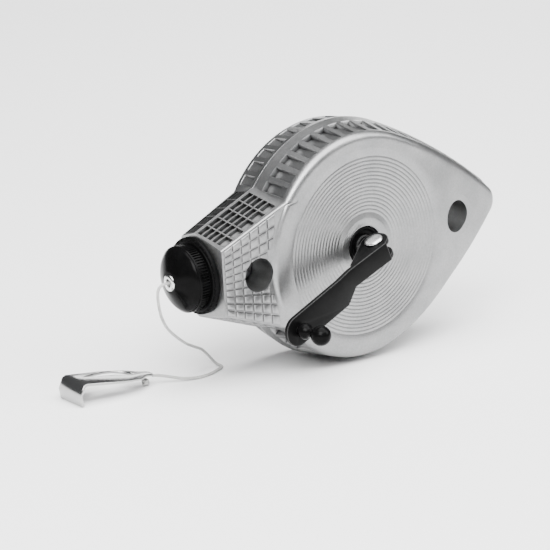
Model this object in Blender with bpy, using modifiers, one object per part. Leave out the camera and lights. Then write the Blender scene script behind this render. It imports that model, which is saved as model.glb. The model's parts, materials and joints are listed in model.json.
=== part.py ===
"""Chalk line reel: a die-cast teardrop case in two halves, a spool turned by a folding crank,
a screw-on filler cap that the line leaves through, and a sheet-steel hook on the line's end.

Metres, +Z up. The reel stands on the round edge of its case, on the plane Z = 0. The spool turns
about Y and the crank is on the -Y side. The neck and its cap point to -X, the tail to +X.
"""

from math import atan2, cos, hypot, pi, radians, sin, sqrt

import bmesh
import bpy
from mathutils import Vector

MM = 0.001
FIT_GAP = 0.3 * MM              # between pieces that touch or are pressed together
ROUND_STEPS = 40                # sides of a large turned piece
SMALL_STEPS = 20                # sides of a small turned piece

# Case, in its own frame: x from the spool axis to the tail, z across, depth from the parting plane
RIM_RADIUS = 43.9 * MM
WALL = 2.3 * MM
CASE_TILT = radians(3.8)        # the neck points slightly down
SIDE_DRAFT = 0.16               # how far the round side leans in, for each unit of its height
FACE_EDGE_RADIUS = 2.6 * MM
EDGE_STEPS = 3

# The two halves: the face's depth at the spool and at the neck's root, how steeply it falls to
# the tail and to the neck's end, and how far the neck's sides lean in
FRONT = {
    "side": 1,
    "depth": 17.5 * MM,
    "neck": 16.2 * MM,
    "tail_fall": 0.27,
    "neck_fall": 0.04,
    "neck_draft": 0.2,
}
REAR = {
    "side": -1,
    "depth": 12.6 * MM,
    "neck": 9.4 * MM,
    "tail_fall": 0.15,
    "neck_fall": 0.06,
    "neck_draft": 0.26,
}

FLANK_RADIUS = 226.0 * MM       # the two long arcs of the tail
FLANK_TANGENT = radians(65)
TAIL_TIP_RADIUS = 8.4 * MM
TAIL_FALL_RADIUS = 36.0 * MM    # where the face starts to fall towards the tail
TAIL_FALL_FULL = radians(25)
TAIL_FALL_NONE = radians(60)
TAIL_HOLE_X = 45.8 * MM
HOLE_RADIUS = 6.0 * MM          # tail hole and knob pocket

NECK_END_X = -61.9 * MM
NECK_END_HALF_WIDTH = 15.4 * MM
NECK_ROOT_X = -40.0 * MM
NECK_ROOT_HALF_WIDTH = 24.3 * MM
NECK_EDGE_RADIUS = 1.2 * MM
NECK_SHOULDER_RADIUS = 40.6 * MM
PLATEAU_RADIUS = 39.2 * MM
POCKET_X = -46.8 * MM
POCKET_FLOOR_DEPTH = 4.0 * MM

OUTLINE_STEPS = {"tip": 2, "flank": 7, "body": 16, "neck": 4, "end": 4}

SCREW_RING_RADIUS = 35.6 * MM
SCREW_ANGLES = (radians(48), radians(132), radians(228), radians(312))
SCREW_SHANK_RADIUS = 1.4 * MM
SCREW_HEAD_RADIUS = 2.8 * MM
SCREW_SEAT_DEPTH = 9.6 * MM
SCREW_REACH = 10.5 * MM         # how far the screws go past the parting plane
BOSS_RADIUS = 3.4 * MM

# Spool and shaft: heights along the spool axis, positive towards the crank
SHAFT_RADIUS = 4.0 * MM
DRUM_RADIUS = 10.0 * MM
FLANGE_RADIUS = 31.5 * MM
DRUM_LOW = -2.5 * MM
DRUM_HIGH = 9.1 * MM
FLANGE_THICKNESS = 1.2 * MM
COIL_RADIUS = 20.0 * MM
HUB_RADIUS = 7.0 * MM
REAR_HUB_RADIUS = 8.5 * MM
REAR_BUSH_RADIUS = 5.0 * MM
JOURNAL_RADIUS = 3.5 * MM

# Crank: its own frame has x along the arm, z outwards, and the fold pin on y
PIN_HEIGHT = 6.5 * MM           # pin above the case's face
PIN_RADIUS = 1.6 * MM
PIN_HEAD_RADIUS = 3.4 * MM
CRANK_ANGLE = radians(204)
SHEET = 1.5 * MM
CHEEK_RADIUS = 5.2 * MM
WEB_TOP = 5.5 * MM
WEB_START_X = -1.2 * MM
WEB_END_X = 16.7 * MM
WEB_HALF_WIDTH = 3.65 * MM
PLATE_START_X = 24.5 * MM
PLATE_START_TOP = 9.3 * MM
PLATE_SLOPE = radians(4)
PLATE_HALF_WIDTH = 5.45 * MM
ARM_REACH = 53.5 * MM
KNOB_X = 47.4 * MM
TANG_HALF_THICKNESS = 1.85 * MM
TANG_RADIUS = 3.3 * MM

# Nozzle: distances from the spool axis along the neck, towards the cap
COLLAR_BACK = 62.2 * MM
COLLAR_FRONT = 64.3 * MM
COLLAR_RADIUS = 13.9 * MM
CAP_BACK = 65.5 * MM
KNURL_RADIUS = 12.0 * MM
KNURL_FRONT = 69.0 * MM
CAP_NOSE = 73.9 * MM
EYELET_NOSE = 74.6 * MM
NECK_BORE_RADIUS = 6.2 * MM
THREAD_RADIUS = 4.4 * MM

LINE_RADIUS = 0.55 * MM
LINE_POINT_SPACING = 2.6 * MM

# Hook: its own frame is on the floor, x along the reel's X from the spool axis, y about its middle
HOOK_Y = 8.8 * MM
HOOK_SHEET = 0.9 * MM
HOOK_KNOT_X = -78.2 * MM
HOOK_KNOT_RADIUS = 1.4 * MM

# The spool axis in the part's frame, which has its origin below the middle of the object
SPOOL_X = 0.75 * MM
SPOOL_Y = 17.63 * MM
SPOOL_Z = RIM_RADIUS

PARTS = bpy.data.collections.new("chalk_line_reel")
TOOLS = bpy.data.collections.new("cutters")
MATERIALS = {}


def clear_scene():
    for obj in list(bpy.data.objects):
        bpy.data.objects.remove(obj, do_unlink=True)


def add_material(name, colour, roughness, metallic):
    material = bpy.data.materials.new(name)
    material.use_nodes = True
    shader = material.node_tree.nodes["Principled BSDF"]
    shader.inputs["Base Color"].default_value = (*colour, 1.0)
    shader.inputs["Roughness"].default_value = roughness
    shader.inputs["Metallic"].default_value = metallic
    MATERIALS[name] = material


def add_frame(name, parent=None, location=(0, 0, 0), rotation=(0, 0, 0)):
    """An empty that pieces are placed from, such as one on a joint's axis."""
    frame = bpy.data.objects.new(name, None)
    frame.parent = parent
    frame.location = location
    frame.rotation_euler = rotation
    PARTS.objects.link(frame)
    return frame


def add_piece(name, data, material, frame, location=(0, 0, 0), rotation=(0, 0, 0)):
    piece = bpy.data.objects.new(name, data)
    piece.parent = frame
    piece.location = location
    piece.rotation_euler = rotation
    if material:
        data.materials.append(MATERIALS[material])
        PARTS.objects.link(piece)
    else:
        piece.hide_render = True
        piece.display_type = "WIRE"
        TOOLS.objects.link(piece)
    return piece


def add_boolean(piece, operation, tool):
    modifier = piece.modifiers.new(operation.lower(), "BOOLEAN")
    modifier.operation = operation
    modifier.solver = "EXACT"
    modifier.object = tool


def smooth(mesh):
    mesh.shade_smooth()
    mesh.set_sharp_from_angle(angle=radians(35))


def add_turned(name, profile, material, frame, steps=ROUND_STEPS, ring=True, **place):
    """A piece turned about its frame's Z. The profile is (radius, height), down the outer side
    first. A ring's profile is a closed loop; otherwise it starts and ends on the axis."""
    mesh = bpy.data.meshes.new(name)
    count = len(profile)
    edges = [(i, i + 1) for i in range(count - 1)]
    if ring:
        edges.append((count - 1, 0))
    mesh.from_pydata([(radius, 0.0, height) for radius, height in profile], edges, [])
    piece = add_piece(name, mesh, material, frame, **place)
    screw = piece.modifiers.new("turn", "SCREW")
    screw.steps = steps
    screw.render_steps = steps
    screw.use_merge_vertices = True
    screw.merge_threshold = 0.01 * MM
    screw.use_smooth_shade = False
    return piece


def add_ring(name, outer, inner, low, high, material, frame, steps=ROUND_STEPS):
    """A plain turned ring between two heights."""
    profile = [(outer, high), (outer, low), (inner, low), (inner, high)]
    return add_turned(name, profile, material, frame, steps)


def add_sheet(name, outline, half_thickness, material, frame, **place):
    """A flat outline in its own XY plane, thickened both ways along Z and made a mesh."""
    curve = bpy.data.curves.new(name, "CURVE")
    curve.dimensions = "2D"
    curve.fill_mode = "BOTH"
    curve.extrude = half_thickness
    spline = curve.splines.new("POLY")
    spline.points.add(len(outline) - 1)
    for point, (x, y) in zip(spline.points, outline):
        point.co = (x, y, 0.0, 1.0)
    spline.use_cyclic_u = True
    guide = bpy.data.objects.new(name + "_curve", curve)
    PARTS.objects.link(guide)
    evaluated = guide.evaluated_get(bpy.context.evaluated_depsgraph_get())
    mesh = bpy.data.meshes.new_from_object(evaluated)
    bpy.data.objects.remove(guide)
    welded = bmesh.new()
    welded.from_mesh(mesh)
    bmesh.ops.remove_doubles(welded, verts=welded.verts, dist=0.01 * MM)
    bmesh.ops.recalc_face_normals(welded, faces=welded.faces)
    welded.to_mesh(mesh)
    welded.free()
    return add_piece(name, mesh, material, frame, **place)


def add_posts(name, posts, frame, side):
    """Cylinders across the case, as one cutter or one set of bosses.
    Each post is (x, z, radius, nearest depth, farthest depth), depths from the parting plane."""
    joined = bmesh.new()
    for x, z, radius, near, far in posts:
        made = bmesh.ops.create_cone(
            joined, cap_ends=True, segments=SMALL_STEPS, radius1=radius, radius2=radius, depth=far - near
        )
        bmesh.ops.translate(joined, verts=made["verts"], vec=(x, z, (near + far) / 2))
    mesh = bpy.data.meshes.new(name)
    joined.to_mesh(mesh)
    joined.free()
    turn = radians(90) if side > 0 else radians(-90)
    if side < 0:
        mirror_z(mesh)
    return add_piece(name, mesh, None, frame, rotation=(turn, 0, 0))


def mirror_z(mesh):
    """Swap the second coordinate's sign and turn the faces over, for posts on the rear side."""
    flipped = bmesh.new()
    flipped.from_mesh(mesh)
    for vert in flipped.verts:
        vert.co.y = -vert.co.y
    bmesh.ops.reverse_faces(flipped, faces=flipped.faces)
    flipped.to_mesh(mesh)
    flipped.free()


def arc(centre, radius, start, end, steps):
    """Points along an arc, both ends included."""
    angles = [start + (end - start) * i / steps for i in range(steps + 1)]
    return [(centre[0] + radius * cos(a), centre[1] + radius * sin(a)) for a in angles]


def between(start, end, share):
    return tuple(a + (b - a) * share for a, b in zip(start, end))


# ---------------------------------------------------------------- case

def neck_side(inset):
    """A point on the neck's upper side, moved in by the inset, and the side's direction."""
    run = Vector((NECK_END_X - NECK_ROOT_X, NECK_END_HALF_WIDTH - NECK_ROOT_HALF_WIDTH)).normalized()
    inward = Vector((-run.y, run.x))
    return Vector((NECK_ROOT_X, NECK_ROOT_HALF_WIDTH)) + inward * inset, run


def upper_outline(inset, neck_inset, end_inset=0.0):
    """The outline's upper half, from the tail's tip to the middle of the neck's end, as a list of
    (stretch, point)."""
    flank_radius = FLANK_RADIUS - inset
    tip_radius = max(TAIL_TIP_RADIUS - inset, 0.5 * MM)
    offset = FLANK_RADIUS - RIM_RADIUS
    centre = (-offset * cos(FLANK_TANGENT), -offset * sin(FLANK_TANGENT))
    tip_x = centre[0] + sqrt((flank_radius - tip_radius) ** 2 - centre[1] ** 2)
    tip_turn = atan2(-centre[1], tip_x - centre[0])
    body_radius = RIM_RADIUS - inset

    start, run = neck_side(neck_inset)
    along = start.dot(run)
    root = start + run * (sqrt(along ** 2 - start.length_squared + body_radius ** 2) - along)
    end = start + run * ((NECK_END_X + end_inset - start.x) / run.x)
    root_angle = atan2(root.y, root.x)

    stretches = {
        "tip": arc((tip_x, 0.0), tip_radius, 0.0, tip_turn, OUTLINE_STEPS["tip"]),
        "flank": arc(centre, flank_radius, tip_turn, FLANK_TANGENT, OUTLINE_STEPS["flank"]),
        "body": arc((0.0, 0.0), body_radius, FLANK_TANGENT, root_angle, OUTLINE_STEPS["body"]),
        "neck": [between(root, end, i / OUTLINE_STEPS["neck"]) for i in range(OUTLINE_STEPS["neck"] + 1)],
        "end": [between(end, (end.x, 0.0), i / OUTLINE_STEPS["end"]) for i in range(OUTLINE_STEPS["end"] + 1)],
    }
    points = []
    for stretch, stretch_points in stretches.items():
        first = 0 if stretch == "tip" else 1
        points += [(stretch, point) for point in stretch_points[first:]]
    return points


def outline(inset, neck_inset, end_inset=0.0):
    """The whole closed outline, as (stretch, point)."""
    upper = upper_outline(inset, neck_inset, end_inset)
    lower = [(stretch, (x, -z)) for stretch, (x, z) in upper[1:-1]]
    return upper + lower[::-1]


def face_depth(half, stretch, point):
    """How far a half's face is from the parting plane at a point of a stretch."""
    x, z = point
    radius = hypot(x, z)
    if stretch in ("neck", "end"):
        if radius < (PLATEAU_RADIUS + NECK_SHOULDER_RADIUS) / 2:
            return half["depth"]
        return half["neck"] - half["neck_fall"] * (-NECK_SHOULDER_RADIUS - x)
    angle = abs(atan2(z, x))
    share = (TAIL_FALL_NONE - angle) / (TAIL_FALL_NONE - TAIL_FALL_FULL)
    share = min(max(share, 0.0), 1.0)
    eased = share * share * (3 - 2 * share)
    return half["depth"] - eased * half["tail_fall"] * max(radius - TAIL_FALL_RADIUS, 0.0)


def side_insets(half):
    """How far the sides have leaned in at the top of a half: of the body, and of the neck."""
    body = SIDE_DRAFT * (half["depth"] - FACE_EDGE_RADIUS)
    neck = half["neck_draft"] * (half["neck"] - NECK_EDGE_RADIUS)
    return body, neck


def edge_loops(half):
    """The outer side and the rounded edge of the face, from the parting plane inwards."""
    body, neck = side_insets(half)
    loops = [[(x, z, FIT_GAP / 2) for _, (x, z) in outline(0.0, 0.0)]]
    for step in range(EDGE_STEPS + 1):
        turn = pi / 2 * step / EDGE_STEPS
        across = 1 - cos(turn)
        loop = []
        for stretch, point in outline(body + FACE_EDGE_RADIUS * across, neck + NECK_EDGE_RADIUS * across):
            edge = NECK_EDGE_RADIUS if stretch in ("neck", "end") else FACE_EDGE_RADIUS
            loop.append((*point, face_depth(half, stretch, point) - edge * (1 - sin(turn))))
        loops.append(loop)
    return loops


def face_loops(half):
    """The face inside its rounded edge, down to the hub's bore."""
    body, neck = side_insets(half)
    border = outline(body + FACE_EDGE_RADIUS, neck + NECK_EDGE_RADIUS)
    loops = []
    for share, neck_radius in ((1 / 3, NECK_SHOULDER_RADIUS), (2 / 3, PLATEAU_RADIUS)):
        loop = []
        for stretch, point in border:
            radius = hypot(*point)
            target = radius + (TAIL_FALL_RADIUS - radius) * share
            if stretch in ("neck", "end"):
                target = min(neck_radius, radius)
            moved = scaled_to(point, target)
            loop.append((*moved, face_depth(half, stretch, moved)))
        loops.append(loop)
    for target in (TAIL_FALL_RADIUS, HUB_RADIUS + FIT_GAP):
        loops.append([(*scaled_to(point, target), half["depth"]) for _, point in border])
    return loops


def cavity_loops(half):
    """The hollow side, from the hub's bore back out to the parting plane."""
    body, neck = side_insets(half)
    side = outline(body + WALL, neck + WALL, WALL)
    loops = []
    for target in (HUB_RADIUS + FIT_GAP, TAIL_FALL_RADIUS):
        loops.append([(*scaled_to(point, target), half["depth"] - WALL) for _, point in side])
    loops.append([(*point, face_depth(half, stretch, point) - WALL) for stretch, point in side])
    loops.append([(*point, FIT_GAP / 2) for _, point in outline(WALL, WALL, WALL)])
    return loops


def scaled_to(point, radius):
    reach = hypot(*point)
    return point[0] * radius / reach, point[1] * radius / reach


def case_mesh(name, half):
    """A closed skin lofted through the loops: out over the side and face, back through the hollow."""
    loops = edge_loops(half) + face_loops(half) + cavity_loops(half)
    skin = bmesh.new()
    rings = [[skin.verts.new((x, -half["side"] * depth, z)) for x, z, depth in loop] for loop in loops]
    count = len(rings[0])
    for ring, inner in zip(rings, rings[1:] + rings[:1]):
        for i in range(count):
            j = (i + 1) % count
            skin.faces.new((ring[i], ring[j], inner[j], inner[i]))
    bmesh.ops.recalc_face_normals(skin, faces=skin.faces)
    mesh = bpy.data.meshes.new(name)
    skin.to_mesh(mesh)
    skin.free()
    smooth(mesh)
    return mesh


def screw_places():
    return [(SCREW_RING_RADIUS * cos(a), SCREW_RING_RADIUS * sin(a)) for a in SCREW_ANGLES]


def neck_bore(name, frame):
    """The round opening in the neck's end that holds the collar."""
    length = 6.0 * MM
    profile = [(0.0, length), (NECK_BORE_RADIUS, length), (NECK_BORE_RADIUS, 0.0), (0.0, 0.0)]
    start = -NECK_END_X - length / 2 - WALL / 2
    return add_turned(name, profile, None, frame, ring=False, location=(0, 0, start))


def tail_hole_top(half):
    return face_depth(half, "tip", (TAIL_HOLE_X, 0.0)) - WALL / 2


def add_front_shell(case_frame, neck_frame):
    shell = add_piece("front_shell", case_mesh("front_shell", FRONT), "cast_metal", case_frame)
    near = FIT_GAP / 2
    inside = FRONT["depth"] - WALL / 2
    bosses = [(x, z, BOSS_RADIUS, near, inside) for x, z in screw_places()]
    bosses += [
        (TAIL_HOLE_X, 0.0, HOLE_RADIUS + WALL, near, tail_hole_top(FRONT)),
        (POCKET_X, 0.0, HOLE_RADIUS + WALL / 2, POCKET_FLOOR_DEPTH - WALL / 2, FRONT["neck"] - WALL / 2),
    ]
    add_boolean(shell, "UNION", add_posts("front_bosses", bosses, case_frame, 1))
    past = FRONT["depth"] + 5 * MM
    thread = SCREW_SHANK_RADIUS + FIT_GAP
    holes = [(x, z, thread, -MM, SCREW_REACH + MM) for x, z in screw_places()]
    holes += [
        (TAIL_HOLE_X, 0.0, HOLE_RADIUS, -MM, past),
        (POCKET_X, 0.0, HOLE_RADIUS, POCKET_FLOOR_DEPTH, past),
    ]
    add_boolean(shell, "DIFFERENCE", add_posts("front_holes", holes, case_frame, 1))
    add_boolean(shell, "DIFFERENCE", neck_bore("front_neck_bore", neck_frame))


def add_rear_shell(case_frame, neck_frame):
    shell = add_piece("rear_shell", case_mesh("rear_shell", REAR), "cast_metal", case_frame)
    near = FIT_GAP / 2
    inside = REAR["depth"] - WALL / 2
    hub_inner = 8.0 * MM
    hub_recess = 0.5 * MM
    bush_floor = 10.6 * MM
    bosses = [(x, z, BOSS_RADIUS + 0.6 * MM, near, inside) for x, z in screw_places()]
    bosses += [
        (TAIL_HOLE_X, 0.0, HOLE_RADIUS + WALL, near, tail_hole_top(REAR)),
        (0.0, 0.0, REAR_HUB_RADIUS, hub_inner, REAR["depth"] - hub_recess),
    ]
    add_boolean(shell, "UNION", add_posts("rear_bosses", bosses, case_frame, -1))
    past = REAR["depth"] + 5 * MM
    holes = [(x, z, SCREW_SHANK_RADIUS + FIT_GAP, -MM, past) for x, z in screw_places()]
    holes += [
        (TAIL_HOLE_X, 0.0, HOLE_RADIUS, -MM, past),
        (0.0, 0.0, REAR_BUSH_RADIUS + FIT_GAP, hub_inner - MM, bush_floor),
    ]
    add_boolean(shell, "DIFFERENCE", add_posts("rear_holes", holes, case_frame, -1))
    seats = [(x, z, SCREW_HEAD_RADIUS + FIT_GAP, SCREW_SEAT_DEPTH, past) for x, z in screw_places()]
    add_boolean(shell, "DIFFERENCE", add_posts("screw_seats", seats, case_frame, -1))
    add_boolean(shell, "DIFFERENCE", neck_bore("rear_neck_bore", neck_frame))


def add_case_screws(case_frame):
    """Pan-head screws from the rear, through the rear shell's bosses into the front shell's."""
    seat = SCREW_SEAT_DEPTH + FIT_GAP
    head = 1.9 * MM
    tip = seat + SCREW_REACH
    profile = [
        (0.0, head - 0.7 * MM),
        (0.9 * MM, head),
        (SCREW_HEAD_RADIUS - 0.7 * MM, head),
        (SCREW_HEAD_RADIUS, head - 0.7 * MM),
        (SCREW_HEAD_RADIUS, 0.0),
        (SCREW_SHANK_RADIUS, 0.0),
        (SCREW_SHANK_RADIUS, MM - tip),
        (0.5 * MM, -tip),
        (0.0, -tip),
    ]
    for number, (x, z) in enumerate(screw_places(), start=1):
        add_turned(
            f"case_screw_{number}", profile, "steel", case_frame, SMALL_STEPS, ring=False,
            location=(x, seat, z), rotation=(radians(-90), 0, 0),
        )


# ---------------------------------------------------------------- spool

def add_spool(spool_frame):
    bore = SHAFT_RADIUS + FIT_GAP
    drum_low = DRUM_LOW + FIT_GAP
    drum_high = DRUM_HIGH - FIT_GAP
    front_high = DRUM_HIGH + FLANGE_THICKNESS
    rear_low = DRUM_LOW - FLANGE_THICKNESS
    coil_bore = DRUM_RADIUS + FIT_GAP
    add_ring("spool_drum", DRUM_RADIUS, bore, drum_low, drum_high, "grey_plastic", spool_frame)
    add_ring("spool_flange_front", FLANGE_RADIUS, bore, DRUM_HIGH, front_high, "grey_plastic", spool_frame)
    add_ring("spool_flange_rear", FLANGE_RADIUS, bore, rear_low, DRUM_LOW, "grey_plastic", spool_frame)
    add_ring("wound_line", COIL_RADIUS, coil_bore, drum_low + FIT_GAP, drum_high - FIT_GAP, "cotton", spool_frame)


def add_shaft(spool_frame, crank_frame):
    """A turned shaft whose front end is a flat tang with a cross hole for the fold pin."""
    groove_low = -5.3 * MM
    groove_high = -4.1 * MM
    groove_radius = 3.2 * MM
    shoulder = FRONT["depth"] + 0.2 * MM
    rear_end = -10.2 * MM
    profile = [
        (0.0, shoulder),
        (SHAFT_RADIUS - FIT_GAP, shoulder),
        (SHAFT_RADIUS, shoulder - FIT_GAP),
        (SHAFT_RADIUS, groove_high),
        (groove_radius, groove_high),
        (groove_radius, groove_low),
        (JOURNAL_RADIUS, groove_low),
        (JOURNAL_RADIUS, rear_end),
        (0.0, rear_end),
    ]
    shaft = add_turned("spool_shaft", profile, "steel", spool_frame, ring=False)
    foot = -PIN_HEIGHT - MM
    # the back of the tang is cut away, so that the end of the crank's web swings past it
    relief = -0.4 * MM
    crown = arc((0.0, 0.0), TANG_RADIUS, 0.0, radians(263), 18)
    tang = [(relief, foot), (TANG_RADIUS, foot)] + crown
    upright = radians(90)
    tongue = add_sheet("tang", tang, TANG_HALF_THICKNESS, None, crank_frame, rotation=(upright, 0, 0))
    add_boolean(shaft, "UNION", tongue)
    hole = arc((0.0, 0.0), PIN_RADIUS + FIT_GAP, 0.0, 2 * pi, SMALL_STEPS)[:-1]
    cutter = add_sheet("tang_hole", hole, 2 * TANG_HALF_THICKNESS, None, crank_frame, rotation=(upright, 0, 0))
    add_boolean(shaft, "DIFFERENCE", cutter)


def add_shaft_fittings(spool_frame):
    """Bushes in the two shells, and the seal, clip and washer on the shaft."""
    face = FRONT["depth"] - 0.1 * MM
    floor = face - MM
    collar_high = FRONT["depth"] - WALL - FIT_GAP
    collar_low = collar_high - 1.7 * MM
    nose = 12.4 * MM
    collar_radius = 9.5 * MM
    nose_radius = 6.2 * MM
    bore = SHAFT_RADIUS + FIT_GAP
    hub = [
        (HUB_RADIUS, face),
        (HUB_RADIUS, collar_high),
        (collar_radius, collar_high),
        (collar_radius, collar_low),
        (nose_radius, collar_low),
        (nose_radius, nose),
        (bore, nose),
        (bore, floor),
        (HUB_RADIUS - 1.8 * MM, floor),
        (HUB_RADIUS - 0.9 * MM, face),
    ]
    add_turned("hub_bush", hub, "black_plastic", spool_frame)
    seal_low = DRUM_HIGH + FLANGE_THICKNESS + FIT_GAP
    add_ring("shaft_felt_seal", 9.0 * MM, bore, seal_low, nose - FIT_GAP, "felt", spool_frame)
    add_clip(spool_frame)
    journal_bore = JOURNAL_RADIUS + FIT_GAP
    add_ring("drag_washer", 7.0 * MM, journal_bore, -6.4 * MM, -5.6 * MM, "steel", spool_frame)
    flange_high = -6.7 * MM
    flange_low = -7.7 * MM
    end = -10.3 * MM
    rear = [
        (7.5 * MM, flange_high),
        (7.5 * MM, flange_low),
        (REAR_BUSH_RADIUS, flange_low),
        (REAR_BUSH_RADIUS, end),
        (journal_bore, end),
        (journal_bore, flange_high),
    ]
    add_turned("rear_bush", rear, "black_plastic", spool_frame)


def add_clip(spool_frame):
    """The open ring that snaps into the shaft's groove."""
    opening = radians(40)
    outer = arc((0.0, 0.0), 6.0 * MM, opening, 2 * pi - opening, 24)
    inner = arc((0.0, 0.0), JOURNAL_RADIUS + 0.05 * MM, 2 * pi - opening, opening, 24)
    add_sheet("retaining_clip", outer + inner, 0.3 * MM, "steel", spool_frame, location=(0, 0, -4.7 * MM))


# ---------------------------------------------------------------- crank

def strip(path, thickness):
    """The closed outline of a bent sheet's edge: the path and the same path moved to its right."""
    points = [Vector(point) for point in path]
    runs = [(b - a).normalized() for a, b in zip(points, points[1:])]
    runs = [runs[0]] + runs + [runs[-1]]
    moved = []
    for point, before, after in zip(points, runs, runs[1:]):
        first = Vector((before.y, -before.x))
        second = Vector((after.y, -after.x))
        mitre = (first + second).normalized()
        moved.append(point + mitre * thickness / mitre.dot(first))
    return [tuple(point) for point in points + moved[::-1]]


def plate_top(x):
    return PLATE_START_TOP + (x - PLATE_START_X) * sin(PLATE_SLOPE)


def add_crank_arm(crank_frame):
    """One bent sheet: a web with two cheeks about the pin, an outward step, and the arm's plate."""
    upright = radians(90)
    reach = ARM_REACH + MM
    side = strip(
        [
            (WEB_START_X, WEB_TOP),
            (WEB_END_X, WEB_TOP),
            (PLATE_START_X, PLATE_START_TOP),
            (reach, plate_top(reach)),
        ],
        SHEET,
    )
    arm = add_sheet("crank_arm", side, 2 * PLATE_HALF_WIDTH, "black_paint", crank_frame, rotation=(upright, 0, 0))
    nose = ARM_REACH - PLATE_HALF_WIDTH
    plan = [(WEB_START_X - MM, -WEB_HALF_WIDTH), (WEB_END_X, -WEB_HALF_WIDTH), (PLATE_START_X, -PLATE_HALF_WIDTH)]
    plan += arc((nose, 0.0), PLATE_HALF_WIDTH, -pi / 2, pi / 2, 12)
    plan += [(PLATE_START_X, PLATE_HALF_WIDTH), (WEB_END_X, WEB_HALF_WIDTH), (WEB_START_X - MM, WEB_HALF_WIDTH)]
    tall = 30 * MM
    add_boolean(arm, "INTERSECT", add_sheet("arm_plan", plan, tall, None, crank_frame))
    cheek_end = WEB_END_X - 2.0 * MM
    web_middle = WEB_TOP - SHEET / 2
    cheek = arc((0.0, 0.0), CHEEK_RADIUS, radians(105), radians(320), 14)
    cheek += [(cheek_end, web_middle - 1.6 * MM), (cheek_end, web_middle), (WEB_START_X, web_middle)]
    for number, way in enumerate((-1, 1)):
        across = way * (WEB_HALF_WIDTH - SHEET / 2)
        plate = add_sheet(
            f"cheek_{number}", cheek, SHEET / 2, None, crank_frame,
            location=(0, across, 0), rotation=(upright, 0, 0),
        )
        add_boolean(arm, "UNION", plate)
    hole = arc((0.0, 0.0), PIN_RADIUS + FIT_GAP, 0.0, 2 * pi, SMALL_STEPS)[:-1]
    cutter = add_sheet("cheek_holes", hole, 2 * WEB_HALF_WIDTH, None, crank_frame, rotation=(upright, 0, 0))
    add_boolean(arm, "DIFFERENCE", cutter)
    return arm


def add_crank_pin(crank_frame):
    """A rivet across the cheeks and the tang, domed at both ends."""
    seat = WEB_HALF_WIDTH + FIT_GAP
    head = 1.1 * MM
    dome = [(0.0, seat + head), (1.9 * MM, seat + 0.9 * head), (3.0 * MM, seat + 0.55 * head)]
    upper = dome + [(PIN_HEAD_RADIUS, seat + 0.2 * head), (PIN_HEAD_RADIUS, seat), (PIN_RADIUS, seat)]
    lower = [(radius, -height) for radius, height in reversed(upper)]
    upright = radians(90)
    add_turned("crank_pin", upper + lower, "steel", crank_frame, SMALL_STEPS, ring=False, rotation=(upright, 0, 0))


def add_knob(knob_frame, arm):
    """The two-ball knob, and the stud that is riveted in the plate and carries it."""
    shank = 1.2 * MM
    bore = shank + FIT_GAP
    bore_end = 9.4 * MM
    gap = FIT_GAP
    base_radius = 2.9 * MM
    ball_radius = 3.6 * MM
    ball_height = 10.7 * MM
    base_height = 2.5 * MM
    ball = arc((0.0, ball_height), ball_radius, radians(90), radians(-55), 9)
    base = arc((0.0, base_height), base_radius, radians(45), radians(-45), 5)
    profile = [(max(radius, 0.0), height) for radius, height in ball + base]
    profile[0] = (0.0, ball_height + ball_radius)
    profile += [(2.1 * MM, gap), (bore, gap), (bore, bore_end), (0.0, bore_end)]
    add_turned("knob", profile, "gloss_black", knob_frame, SMALL_STEPS, ring=False)

    back = -SHEET - gap
    head = 0.8 * MM
    stud = [
        (0.0, bore_end - gap),
        (shank, bore_end - gap),
        (shank, back),
        (2.4 * MM, back),
        (2.4 * MM, back - 0.4 * head),
        (1.8 * MM, back - head),
        (0.0, back - head),
    ]
    add_turned("knob_stud", stud, "steel", knob_frame, SMALL_STEPS, ring=False)
    hole = arc((0.0, 0.0), bore, 0.0, 2 * pi, SMALL_STEPS)[:-1]
    add_boolean(arm, "DIFFERENCE", add_sheet("stud_hole", hole, 3 * SHEET, None, knob_frame))


# ---------------------------------------------------------------- nozzle

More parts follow.
